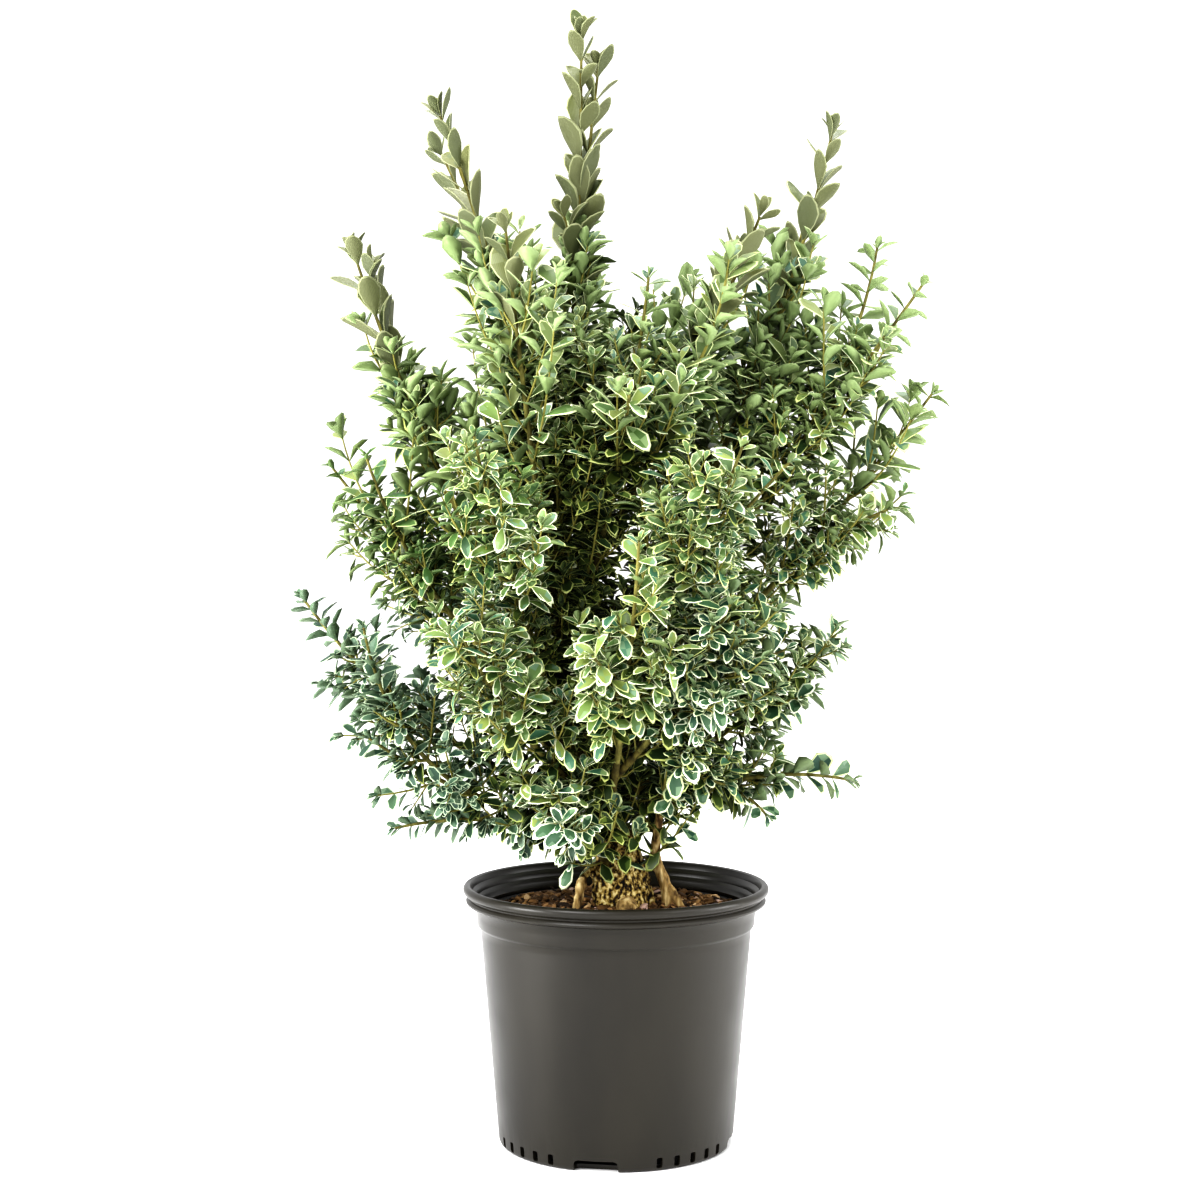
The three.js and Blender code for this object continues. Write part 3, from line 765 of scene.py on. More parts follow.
    def add_sprigs(self, tone: Tone, twig: Route, ascent: float) -> None:
        """Grows the sprigs on both sides of a side twig.

        Args:
            tone: their leaves' tone.
            twig: the side twig.
            ascent: how much they turn upwards.
        """
        random = self.random
        way = self.sprig_margin
        while way < twig.length - self.sprig_margin:
            spot = twig.spot(way / twig.length)
            for side in SIDES:
                reach = min(self.sprig_most, (twig.length - way) * random.between(*self.sprig_reach))
                if reach < self.sprig_least or random.next() < self.sprig_gaps:
                    continue
                crossed = QUARTER_TURN * (round(way / self.sprig_step) % 2)
                bearing = random.within(self.sprig_waver) + side + crossed
                sprig = self.twig_route(spot, bearing, reach, self.sprig_angle, ascent)
                if self.has_room(sprig.at(1)):
                    self.twigs.append(Wood(sprig, *self.sprig_radii))
                    self.dress_twig(tone, sprig, self.first_sprig_pair, self.sprig_leaf)
            way += self.sprig_step

    def dress_twig(
        self, tone: Tone, route: Route, start: float, size: float = 1, sparse: bool = False
    ) -> None:
        """Leaf pairs along a twig, each pair square to the one before it, and young leaves at its end.

        Args:
            tone: the leaves' tone.
            route: the twig.
            start: how far along it the first pair stands.
            size: the leaves' share of their habit's length.
            sparse: whether the pairs stand as far apart as on a whip.
        """
        habit = HABITS[tone]
        step = habit.step if sparse else self.pair_step
        shaded = self.shaded_way if size == 1 and not sparse else 0
        roll = FULL_TURN * self.random.next()
        way, pair = start, 0
        while way < route.length - self.twig_end:
            length = habit.length * size * self.random.between(*self.size_on_twig)
            # Pairs near the twig's foot take the darker greens as painted shade.
            shown = Tone.DEEP if way < shaded else tone
            self.leaf_pair(shown, route.spot(way / route.length), roll + QUARTER_TURN * pair, length)
            pair += 1
            way += step
        self.tip_leaves(tone, route, roll, habit.length * size * self.tip_leaf, 0)

    def dress_inside(self) -> None:
        """Grows short leafy twigs on the trunk and the boughs, so the crown is closed inside and dark there,
        partly by real shade and partly by the darker greens of painted shade that their leaves take above the
        lowest shade height.
        """
        random = self.random
        on_trunk, on_side_stem, on_bough = self.inner_starts
        limbs = [(self.trunk, on_trunk), (self.side_stem, on_side_stem)]
        limbs += [(wood.route, on_bough) for wood in self.boughs]
        for route, start in limbs:
            way = start * route.length
            while way < route.length:
                spot = route.spot(way / route.length)
                reach = random.between(*self.inner_reach)
                if spot.at[2] > self.lowest_twig:
                    turn = FULL_TURN * random.next()
                    # Above the lowest shade height these leaves take the darker greens of painted shade.
                    tone = Tone.DEEP if spot.at[2] > self.shade_heights[0] else Tone.CRISP
                    self.side_twig(tone, spot, turn, reach, self.inner_angle)
                way += self.inner_step
        self.dress_trunk()

    def dress_trunk(self) -> None:
        """Leaf pairs and twigs on the main stem itself, forwards and back, between the masses."""
        random = self.random
        height, top = self.stem_leaves
        pair = 0
        while height < top:
            at = self.trunk_point(height)
            spot = Spot(at, unit(self.trunk_point(min(height + self.stem_ahead, self.stem_top)) - at))
            self.sprays += 1
            length = HABITS[Tone.CROWN].length * random.between(*self.stem_leaf)
            bearing = QUARTER_TURN * pair + self.stem_turn
            self.leaf_pair(Tone.CROWN, spot, bearing, length, self.stem_vigour)
            forward = HALF_TURN + random.within(self.forward_waver)
            backward = random.within(self.backward_waver)
            self.side_twig(Tone.CROWN, spot, forward, random.between(*self.forward_reach))
            # The twigs behind the stem take the darker greens of painted shade.
            self.side_twig(Tone.DEEP, spot, backward, random.between(*self.backward_reach))
            pair += 1
            height += self.stem_pair_step

    def twig_route(self, spot: Spot, turn: float, length: float, angle: float, ascent: float) -> Route:
        """The route of a side twig, which leaves its stem at an angle and turns upwards.

        Args:
            spot: where it leaves the stem.
            turn: the bearing round the stem.
            length: the twig's length.
            angle: the angle with the stem, in degrees.
            ascent: how much it turns upwards.

        Returns:
            The route.
        """
        start = leaving(spot.axis, square_to(spot.axis, turn), angle)
        rising = unit(start + np.array([0, 0, ascent]))
        straight = self.twig_straight
        tip = spot.at + (start * straight + rising * (1 - straight)) * length
        return Route.bow(spot.at, spot.at + start * length * straight, tip)

    def leaf_pair(
        self, tone: Tone, spot: Spot, turn: float, length: float, vigour: float = 0, rise: float = 0
    ) -> None:
        """Two leaves on opposite sides of a twig, their upper faces towards its tip and the light.

        Args:
            tone: the tone of the twig's leaves.
            spot: where the pair is rooted.
            turn: the pair's bearing round the twig.
            length: the leaves' length.
            vigour: 0 for a leaf of the crown, up to 1 for one of a long whip.
            rise: the angle with the twig, if it isn't the habit's.
        """
        random, at, axis = self.random, spot.at, spot.axis
        habit = HABITS[tone]
        reach = math.hypot(at[0], at[1])
        light = np.array([at[0] / (reach + 1), at[1] / (reach + 1), self.skyward]) / self.skyward
        for side in SIDES:
            outward = square_to(axis, turn + side + random.within(self.turn_waver))
            direction = leaving(axis, outward, (rise or habit.rise) + random.between(*self.rise_waver))
            face = axis * (self.face_along + vigour) + light
            face = unit(face - direction * (face @ direction))
            face = unit(face + np.cross(direction, face) * random.within(self.roll_waver))
            size = length * random.between(*self.size_waver)
            low = (at + direction * size)[2] < self.lowest_leaf
            if low or not self.has_room(at + direction * size * self.leaf_room_at):
                continue
            shown = self.shown_tone(tone, at, reach, vigour)
            breadth = habit.breadth * random.between(*self.breadth_waver)
            self.leaves.append(Leaf(at, direction, face, size, breadth, shown, self.sprays, vigour))

    def shown_tone(self, tone: Tone, at: np.ndarray, reach: float, vigour: float) -> Tone:
        """A leaf's own tone: the darker greens of painted shade deep in the crown, and mixed where the upper
        tone meets the crown's.

        Args:
            tone: its twig's tone.
            at: where it is rooted.
            reach: how far that is from the pot's axis.
            vigour: its vigour.

        Returns:
            The tone.
        """
        least, more = self.shade_waver
        shade_reach = self.shade_within * (least + more * self.random.next())
        if at[2] < self.deep_foot:
            shade_reach *= self.deep_foot_share
        low, high = self.shade_heights
        # Leaves near the axis inside the crown take the darker greens as painted shade.
        if vigour < self.shade_vigour and reach < shade_reach and low < at[2] < high:
            return Tone.DEEP
        if tone is Tone.UPPER and self.random.next() < (self.crown_below - at[2]) / self.crown_over:
            return Tone.CROWN
        if tone is Tone.CROWN and self.random.next() < (at[2] - self.upper_above) / self.upper_over:
            return Tone.UPPER
        return tone


# Leaves


class LeafPart(IntEnum):
    """The parts of a leaf that have a colour of their own."""

    UPPER = 0
    MARBLED = 1
    EDGE = 2
    UNDER = 3
    UNDER_EDGE = 4


class MaterialMaker:
    """A node material in the making: one Principled shader and what feeds it."""

    PATTERN_RANGE = (0.3, 0.7)

    def __init__(self, name: str) -> None:
        """Starts an empty material with its shader and output."""
        self.material = bpy.data.materials.new(name)
        self.material.use_nodes = True
        self.tree = self.material.node_tree
        self.tree.nodes.clear()
        output = self.add("ShaderNodeOutputMaterial")
        self.shader = self.add("ShaderNodeBsdfPrincipled")
        self.link(self.shader.outputs["BSDF"], output.inputs["Surface"])

    def add(self, kind: str, **settings: object) -> bpy.types.Node:
        """Adds a node.

        Args:
            kind: its kind.
            settings: its settings, by name.

        Returns:
            The node.
        """
        node = self.tree.nodes.new(kind)
        for key, value in settings.items():
            setattr(node, key, value)
        return node

    def link(self, source: bpy.types.NodeSocket, target: bpy.types.NodeSocket) -> None:
        """Joins two sockets."""
        self.tree.links.new(source, target)

    @staticmethod
    def fill(node: bpy.types.Node, **values: object) -> None:
        """Sets a node's inputs by name, with a line for each space."""
        for key, value in values.items():
            node.inputs[key.replace("_", " ")].default_value = value

    def noise(self, scale: float, detail: float, stretch: Triple = (1, 1, 1)) -> bpy.types.NodeSocket:
        """A cloudy pattern in the piece's own coordinates.

        Args:
            scale: how many clouds go in a metre.
            detail: how many finer layers it has.
            stretch: the share of the scale along each axis.

        Returns:
            Its strength from 0 to 1.
        """
        turn = self.add("ShaderNodeMapping")
        self.fill(turn, Scale=stretch)
        self.link(self.add("ShaderNodeTexCoord").outputs["Object"], turn.inputs["Vector"])
        clouds = self.add("ShaderNodeTexNoise")
        self.fill(clouds, Scale=scale, Detail=detail)
        self.link(turn.outputs["Vector"], clouds.inputs["Vector"])
        return clouds.outputs["Fac"]

    def plain(self, colour: Colour) -> None:
        """Gives the shader one plain base colour."""
        self.fill(self.shader, Base_Color=(*colour, 1))

    def shine(self, specular: float, pattern: bpy.types.NodeSocket, low: float, high: float) -> None:
        """Sets how the surface shines.

        Args:
            specular: the strength of its highlights.
            pattern: the pattern that its roughness follows.
            low: the roughness where the pattern is weak.
            high: the roughness where it is strong.
        """
        self.fill(self.shader, Specular_IOR_Level=specular)
        spread = self.add("ShaderNodeMapRange")
        weak, strong = self.PATTERN_RANGE
        self.fill(spread, From_Min=weak, From_Max=strong, To_Min=low, To_Max=high)
        self.link(pattern, spread.inputs["Value"])
        self.link(spread.outputs["Result"], self.shader.inputs["Roughness"])

    def colours(self, pattern: bpy.types.NodeSocket, stops: Iterable[tuple[float, Colour]]) -> None:
        """Feeds the base colour from a pattern through a ramp.

        Args:
            pattern: the pattern.
            stops: the ramp's places from 0 to 1, each with its colour.
        """
        ramp = self.add("ShaderNodeValToRGB")
        band = ramp.color_ramp
        listed = list(stops)
        while len(band.elements) < len(listed):
            band.elements.new(0.5)
        for element, (position, colour) in zip(band.elements, listed):
            element.position = position
            element.color = (*colour, 1)
        self.link(pattern, ramp.inputs["Fac"])
        self.link(ramp.outputs["Color"], self.shader.inputs["Base Color"])

    def bump(self, pattern: bpy.types.NodeSocket, strength: float, distance: float) -> None:
        """Feeds the shader's normal from a pattern, over any bump that is there already.

        Args:
            pattern: the pattern.
            strength: how much of the bump shows, from 0 to 1.
            distance: its height in metres.
        """
        relief = self.add("ShaderNodeBump")
        self.fill(relief, Strength=strength, Distance=distance)
        self.link(pattern, relief.inputs["Height"])
        normal = self.shader.inputs["Normal"]
        if normal.is_linked:
            self.link(normal.links[0].from_socket, relief.inputs["Normal"])
        self.link(relief.outputs["Normal"], normal)


@dataclass(frozen=True)
class LeafFinish:
    """A leaf's surface: one plain colour, with a soft shine and fine veins that follow the leaf."""

    name: str
    colour: Colour
    roughness: float
    specular: float = 0.42
    smoother: float = 0.1
    rougher: float = 0.12
    veins: float = 0.16
    vein_height: float = 0.0004
    vein_scale: float = 5.0
    vein_bend: float = 1.2

    def material(self) -> bpy.types.Material:
        """Builds the material."""
        made = MaterialMaker(self.name)
        made.plain(self.colour)
        place = made.add("ShaderNodeUVMap", uv_map="leaf")
        waves = made.add("ShaderNodeTexWave", bands_direction="Y", wave_profile="SIN")
        made.fill(waves, Scale=self.vein_scale, Distortion=self.vein_bend)
        made.link(place.outputs["UV"], waves.inputs["Vector"])
        low, high = self.roughness - self.smoother, self.roughness + self.rougher
        made.shine(self.specular, made.noise(scale=900, detail=3), low, high)
        made.bump(waves.outputs["Fac"], self.veins, self.vein_height)
        return made.material


@dataclass(frozen=True)
class PlainFinish:
    """A fibrous surface of one plain colour.

    cloud and grain are the scale and detail of the patterns of its roughness and its bump, stretch how the
    grain lies, and relief the bump's strength and its height in metres.
    """

    name: str
    colour: Colour
    specular: float
    cloud: Span
    roughness: Span
    grain: Span
    stretch: Triple
    relief: Span

    def material(self) -> bpy.types.Material:
        """Builds the material."""
        made = MaterialMaker(self.name)
        made.plain(self.colour)
        made.shine(self.specular, made.noise(*self.cloud), *self.roughness)
        made.bump(made.noise(*self.grain, self.stretch), *self.relief)
        return made.material


def young_bark(number: int, colour: Colour) -> PlainFinish:
    """The skin of young twigs, faintly ribbed along them."""
    ribs = ((1400, 3), (1, 1, 0.2), (0.3, 0.0003))
    return PlainFinish(f"young_bark_{number}", colour, 0.35, (500, 3), (0.55, 0.78), *ribs)


def bark_chip(number: int, colour: Colour) -> PlainFinish:
    """The rough fibrous surface of a chip of bark."""
    fibres = ((900, 6), (1, 0.3, 1), (0.6, 0.0006))
    return PlainFinish(f"bark_chip_{number}", colour, 0.25, (700, 4), (0.7, 0.98), *fibres)


@dataclass(frozen=True)
class Palette:
    """The greens and creams that one tone is dealt from, as screen colours."""

    upper: tuple[Screen, ...]
    marbled: tuple[Screen, ...]
    edge: tuple[Screen, ...]
    under: tuple[Screen, ...]
    under_edge: tuple[Screen, ...]


PALETTES: dict[Tone, Palette] = {
    Tone.WHIP: Palette(
        ((98, 104, 62), (86, 96, 58), (108, 112, 70)),
        ((112, 118, 82), (100, 108, 74)),
        ((156, 160, 118), (168, 170, 136)),
        ((94, 98, 66), (84, 90, 60)),
        ((132, 136, 102),),
    ),
    Tone.UPPER: Palette(
        ((108, 122, 76), (96, 114, 82), (72, 102, 84), (122, 132, 78), (84, 102, 58)),
        ((132, 144, 104), (116, 134, 110)),
        ((206, 214, 168), (194, 204, 148), (214, 220, 182)),
        ((140, 158, 110), (126, 144, 96)),
        ((196, 208, 160),),
    ),
    Tone.CROWN: Palette(
        ((94, 120, 68), (108, 130, 70), (70, 110, 86), (130, 144, 80), (80, 106, 58)),
        ((122, 144, 98), (106, 134, 106)),
        ((224, 232, 186), (234, 238, 206), (210, 218, 150)),
        ((118, 134, 86), (104, 120, 78)),
        ((196, 206, 156),),
    ),
    Tone.GREEN: Palette(
        ((62, 92, 46), (74, 104, 52), (52, 82, 50), (88, 112, 56)),
        ((92, 120, 70), (82, 112, 80)),
        ((164, 186, 118), (184, 200, 140), (204, 214, 160)),
        ((98, 120, 70), (86, 108, 62)),
        ((158, 174, 116),),
    ),
    Tone.COOL: Palette(
        ((56, 82, 62), (66, 92, 68), (48, 74, 58)),
        ((84, 108, 86), (96, 116, 94)),
        ((172, 188, 158), (186, 200, 170)),
        ((90, 110, 86), (100, 118, 92)),
        ((164, 178, 144),),
    ),
    Tone.CRISP: Palette(
        ((48, 80, 54), (62, 94, 64), (44, 76, 60)),
        ((86, 112, 86), (100, 126, 96)),
        ((230, 236, 210), (224, 230, 194), (212, 222, 170)),
        ((104, 122, 86), (114, 130, 94)),
        ((204, 212, 172),),
    ),
    # The darker greens given to leaves inside the crown: painted shade.
    Tone.DEEP: Palette(
        ((42, 58, 24), (58, 74, 30), (34, 54, 26)),
        ((76, 94, 42), (88, 102, 46)),
        ((162, 170, 98), (178, 186, 118), (136, 146, 76)),
        ((72, 84, 40), (58, 72, 34)),
        ((140, 148, 84),),
    ),
}


@dataclass(frozen=True)
class LeafShape:
    """A leaf's blade in units of its own length, with its root at the origin and its tip on +X.

    stations is the number of points down each side, fold how far the halves rise from the midrib, arch how
    far the tip bends down, cream how wide the pale edge is, marbled the share of paler patches, and seed
    deals the edge's waver. rimmed gives the underside a pale edge of its own.
    """

    stations: int
    fold: float
    arch: float
    cream: float
    marbled: float
    seed: int
    rimmed: bool
    thick: float = 0.022
    edge_waver: Span = (0.65, 1.5)
    tip_edge: float = 0.45
    groove: float = 0.2

    def build(self) -> tuple[np.ndarray, list[list[int]], list[int]]:
        """Lays out the blade.

        Returns:
            Its points (x, y from -0.5 to 0.5 and z), its faces, and the part that each face belongs to.
        """
        random = RandomStream(self.seed)
        n = self.stations
        ways = [(1 - math.cos(math.pi * i / (n + 1))) / 2 for i in range(1, n + 1)]
        cuts = [[self.cream * random.between(*self.edge_waver) for _ in ways] for _ in SIDES]
        points: list[Triple] = []
        faces: list[list[int]] = []
        parts: list[int] = []

        def put(x: float, y: float, raised: float) -> int:
            """Adds a point of the blade and gives its number."""
            points.append((x, y, self.fold * abs(y) - self.arch * x * x + raised))
            return len(points) - 1

        def ring(cream: bool, raised: float) -> list[list[int]]:
            """Adds a ring of points.

            Args:
                cream: whether it runs inside the pale edge, and not along the outline.
                raised: how far it stands over the blade's middle.

            Returns:
                Its two sides from root to tip.
            """
            inset = self.tip_edge * self.cream if cream else 0
            root, tip = put(inset, 0, raised), put(1 - inset, 0, raised)
            sides = []
            for sign, cut in zip((1, -1), cuts):
                side = [
                    put(0.5 + (x - 0.5) * (1 - inset), sign * self.half_width(x) * (1 - c * cream), raised)
                    for x, c in zip(ways, cut)
                ]
                sides.append([root, *side, tip])
            return sides

        def rib(raised: float) -> list[int]:
            """Adds the midrib's points, one by each station."""
            return [put(0.5 + (x - 0.5) * (1 - self.tip_edge * self.cream), 0, raised) for x in ways]

        def strip(
            outside: list[int], inside: list[int], turned: bool, part_of: Callable[[], LeafPart]
        ) -> None:
            """Adds the faces between two lines of points.

            Args:
                outside: the line that lies further out.
                inside: the other line.
                turned: whether the faces are turned over, for the other side of the blade.
                part_of: gives the part that a face belongs to.
            """
            for k in range(len(outside) - 1):
                corners = [outside[k], outside[k + 1], inside[k + 1], inside[k]]
                corners = list(dict.fromkeys(corners))
                faces.append(corners if turned else corners[::-1])
                parts.append(int(part_of()))

        def centre(
            sides: list[list[int]], middle: list[int], under: bool, part_of: Callable[[], LeafPart]
        ) -> None:
            """Fills a ring to the midrib.

            Args:
                sides: the ring's two sides.
                middle: the midrib's points.
                under: whether it is the underside.
                part_of: gives the part that a face belongs to.
            """
            for side, mirrored in zip(sides, (False, True)):
                strip(side, [side[0], *middle, side[-1]], mirrored != under, part_of)

        outer = ring(False, 0)
        upper = ring(True, self.thick / 2)
        for side, inner, mirrored in zip(outer, upper, (False, True)):
            strip(side, inner, mirrored, lambda: LeafPart.EDGE)
        centre(upper, rib(-self.thick * self.groove), False, self.patch(random))
        under = ring(True, -self.thick / 2) if self.rimmed else outer
        if self.rimmed:
            for side, inner, mirrored in zip(outer, under, (True, False)):
                strip(side, inner, mirrored, lambda: LeafPart.UNDER_EDGE)
        centre(under, rib(-self.thick), True, lambda: LeafPart.UNDER)
        return np.array(points), faces, parts

    def patch(self, random: RandomStream) -> Callable[[], LeafPart]:
        """Deals the centre's faces to the plain green or the paler patches."""
        return lambda: LeafPart.MARBLED if random.next() < self.marbled else LeafPart.UPPER

    @staticmethod
    def half_width(x: float) -> float:
        """Half the blade's width at a share of its length: narrow at the root, round at the tip."""
        neck = min(1.0, 0.45 + 1.1 * x)
        return 0.5 * math.sin(math.pi * x**1.35) ** 0.62 * neck


@dataclass
class Foliage:
    """All the leaves, dealt into pieces by where they grow."""

    PLAIN = 3
    USUAL = 4
    FINE = 6

    SPRAY_DEAL = (7919, 13)
    LEAF_DEAL = (104729, 7)
    LOOK_STEP = 7

    fine_from: float = 0.45
    back_from: float = -15
    strays: float = 0.3
    upper_roughness: float = 0.46
    under_roughness: float = 0.62
    looks: tuple[Triple, ...] = (
        (0.24, 0.12, 0.2),
        (0.1, 0.24, 0.5),
        (-0.08, 0.34, 0.3),
        (0.3, 0.2, 0.35),
        (0.16, 0.42, 0.15),
    )

    def __post_init__(self) -> None:
        """Models a few leaves of each tone and fineness, and the materials that all pieces share."""
        self.shapes = {
            (tone, stations): [self.shape(habit, stations, k).build() for k in range(len(self.looks))]
            for tone, habit in HABITS.items()
            for stations in (self.PLAIN, self.USUAL, self.FINE)
        }
        self.slots: dict[tuple[Tone, LeafPart, int], int] = {}
        self.finishes: list[bpy.types.Material] = []
        for tone, palette in PALETTES.items():
            for part in LeafPart:
                roughness = self.under_roughness if part >= LeafPart.UNDER else self.upper_roughness
                for k, shade in enumerate(getattr(palette, part.name.lower())):
                    name = f"leaf_{tone.name.lower()}_{part.name.lower()}_{k}"
                    self.slots[tone, part, k] = len(self.finishes)
                    self.finishes.append(LeafFinish(name, linear(*shade), roughness).material())

    def shape(self, habit: Habit, stations: int, look: int) -> LeafShape:
        """A leaf's blade.

        Args:
            habit: how its tone grows.
            stations: how many points its sides get.
            look: which of the looks it has.

        Returns:
            The blade.
        """
        fold, arch, marbled = self.looks[look]
        seed = 100 * stations + look
        return LeafShape(stations, fold, arch * habit.arch, habit.cream, marbled, seed, stations == self.FINE)

    def colours_of(self, leaf: Leaf, number: int) -> np.ndarray:
        """The material slot of each part of a leaf, dealt by its spray.

        Args:
            leaf: the leaf.
            number: its place in its piece, by which some parts stray to the next shade.

        Returns:
            The slots, in the order of the parts.
        """
        spray_factor, spray_start = self.SPRAY_DEAL
        leaf_factor, leaf_start = self.LEAF_DEAL
        deal = RandomStream(leaf.spray * spray_factor + spray_start)
        own = RandomStream(number * leaf_factor + leaf_start)
        palette = PALETTES[leaf.tone]
        slots = []
        for part in LeafPart:
            count = len(getattr(palette, part.name.lower()))
            pick = int(deal.next() * count)
            if own.next() < self.strays:
                pick = (pick + 1) % count
            slots.append(self.slots[leaf.tone, part, pick])
        return np.array(slots)

    def stations_of(self, leaf: Leaf) -> int:
        """How fine a leaf is: more for a large one on a whip, less deep in the crown and at the back.

        Args:
            leaf: the leaf.

        Returns:
            How many points its sides get.
        """
        if leaf.vigour > self.fine_from and leaf.tone is Tone.WHIP:
            return self.FINE
        if leaf.tone in (Tone.DEEP, Tone.COOL) or leaf.root[1] > self.back_from:
            return self.PLAIN
        return self.USUAL

    def build(self, name: str, leaves: list[Leaf]) -> bpy.types.Object:
        """Joins leaves into one piece.

        Args:
            name: the piece's name.
            leaves: its leaves.

        Returns:
            The piece, with its materials and its leaf map.
        """
        places, corners, sizes, slots, flats = [], [], [], [], []
        start = 0
        for number, leaf in enumerate(leaves):
            shapes = self.shapes[leaf.tone, self.stations_of(leaf)]
            points, faces, parts = shapes[number * self.LOOK_STEP % len(shapes)]
            across = np.cross(leaf.face, leaf.direction)
            width = leaf.length * leaf.breadth
            placed = (
                leaf.root
                + points[:, :1] * leaf.length * leaf.direction
                + points[:, 1:2] * width * across
                + points[:, 2:] * leaf.length * leaf.face
            )
            places.append(placed)
            tones = self.colours_of(leaf, number)
            for face, part in zip(faces, parts):
                corners.extend(start + corner for corner in face)
                sizes.append(len(face))
                slots.append(tones[part])
                flats.extend(points[face, :2])
            start += len(points)
        mesh = joined_mesh(name, np.vstack(places) * MM, corners, sizes, slots)
        leaf_map = mesh.uv_layers.new(name="leaf")
        leaf_map.data.foreach_set("uv", (np.array(flats) + (0, 0.5)).astype(np.float32).ravel())
        for finish in self.finishes:
            mesh.materials.append(finish)
        mesh.shade_smooth()
        return linked(name, mesh)


def joined_mesh(
    name: str, places: np.ndarray, corners: list[int], sizes: list[int], slots: list[int]
) -> bpy.types.Mesh:
    """One mesh from flat lists.

    Args:
        name: the mesh's name.
        places: its points, in metres.
        corners: the point numbers of every face, one after another.
        sizes: how many corners each face has.
        slots: each face's material slot.

    Returns:
        The mesh.
    """
    mesh = bpy.data.meshes.new(name)
    mesh.vertices.add(len(places))
    mesh.vertices.foreach_set("co", places.astype(np.float32).ravel())
    mesh.loops.add(len(corners))
    mesh.loops.foreach_set("vertex_index", np.array(corners, np.int32))
    mesh.polygons.add(len(sizes))
    starts = np.concatenate([[0], np.cumsum(sizes)[:-1]]).astype(np.int32)
    mesh.polygons.foreach_set("loop_start", starts)
    mesh.polygons.foreach_set("material_index", np.array(slots, np.int32))
    mesh.update(calc_edges=True)
    mesh.validate()
    return mesh


def linked(name: str, data: bpy.types.ID) -> bpy.types.Object:
    """An object in the scene that holds some data."""
    made = bpy.data.objects.new(name, data)
    bpy.context.scene.collection.objects.link(made)
    return made


def only_none() -> None:
    """Deselects everything."""
    bpy.ops.object.select_all(action="DESELECT")


def only(chosen: bpy.types.Object) -> None:
    """Selects one object and makes it the active one."""
    only_none()
    chosen.select_set(True)
    bpy.context.view_layer.objects.active = chosen


def joined(first: bpy.types.Object, others: Iterable[bpy.types.Object]) -> bpy.types.Object:
    """Joins other objects to the first one.

    Args:
        first: the object that stays.
        others: those that go into it.

    Returns:
        The first object.
    """
    only(first)
    for other in others:
        other.select_set(True)
    bpy.ops.object.join()
    return bpy.context.active_object


def settle(piece: bpy.types.Object) -> None:
    """Puts an object's place, turn and scale into its mesh."""
    only(piece)
    bpy.ops.object.transform_apply(location=True, rotation=True, scale=True)


def clad(piece: bpy.types.Object, *finishes: bpy.types.Material) -> None:
    """Gives a piece its materials in place of any that it has."""
    piece.data.materials.clear()
    for finish in finishes:
        piece.data.materials.append(finish)


def with_modifier(piece: bpy.types.Object, kind: str, **settings: object) -> None:
    """Adds a modifier and applies it.

    Args:
        piece: the object.
        kind: the modifier's kind.
        settings: its settings, by name.
    """
    only(piece)
    modifier = piece.modifiers.new(kind.lower(), kind)
    for key, value in settings.items():
        setattr(modifier, key, value)
    bpy.ops.object.modifier_apply(modifier=modifier.name)


def stand_for(piece: bpy.types.Object, nodes: Iterable[str]) -> None:
    """Makes a finished piece ride on the plant's body and stand for CAD nodes.

    Args:
        piece: the piece.
        nodes: the nodes.
    """
    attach(piece, BODY)
    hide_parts(*nodes)
    logging.info("%s: %d triangles", piece.name, sum(len(face.vertices) - 2 for face in piece.data.polygons))


# Wood


@dataclass(frozen=True)
class BarkFinish:
    """Bark: browns and ochres in streaks and flecks, with cracks and pores.

    colours run from the cracks to the ridges. streak is the pattern's share of its scale along the stem,
    scale the number of streaks in a metre, contrast how sharply the colours part, and relief the bump.
    fine and pores are how many times finer its shine and its pores are. The heights are in metres.
    """

    name: str
    colours: tuple[Colour, ...]
    streak: float = 0.35
    scale: float = 160
    contrast: float = 0.2
    relief: float = 0.7
    specular: float = 0.3
    roughness: Span = (0.72, 0.95)
    fine: float = 3
    pores: float = 2.2
    pore_height: float = 0.0012
    crack_height: float = 0.0025

    def material(self) -> bpy.types.Material:
        """Builds the material."""
        made = MaterialMaker(self.name)
        stretch = (1, 1, self.streak)
        streaks = made.noise(self.scale, 9, stretch)
        last = max(len(self.colours) - 1, 1)
        stops = [(0.5 + self.contrast * (2 * k / last - 1), c) for k, c in enumerate(self.colours)]
        made.colours(streaks, stops)
        made.shine(self.specular, made.noise(self.scale * self.fine, 4), *self.roughness)
        made.bump(made.noise(self.scale * self.pores, 8, stretch), self.relief, self.pore_height)
        made.bump(streaks, self.relief, self.crack_height)
        return made.material


def tubes(
    name: str, woods: list[Wood], step: float, roundness: int, slots: Optional[list[int]] = None
) -> bpy.types.Object:
    """Round tapering stems along their routes, drawn as bevelled curves and made one mesh.

    Args:
        name: the piece's name.
        woods: the stems.
        step: the distance between two rings, in millimetres.
        roundness: how much finer than a square the stems are.
        slots: the material slot of each stem.

    Returns:
        The piece.
    """
    curve = bpy.data.curves.new(name, "CURVE")
    curve.dimensions = "3D"
    curve.bevel_depth = MM
    curve.bevel_resolution = roundness
    curve.use_fill_caps = True
    for number, wood in enumerate(woods):
        rings = max(2, round(wood.route.length / step))
        places = wood.route.spaced(rings) * MM
        spline = curve.splines.new("POLY")
        spline.points.add(rings)
        spline.points.foreach_set("co", np.hstack([places, np.ones((rings + 1, 1))]).ravel())
        spline.points.foreach_set("radius", np.linspace(wood.foot, wood.tip, rings + 1))
        spline.material_index = slots[number] if slots else 0
    piece = linked(name, curve)
    only(piece)
    bpy.ops.object.convert(target="MESH")
    piece.data.shade_smooth()
    return piece


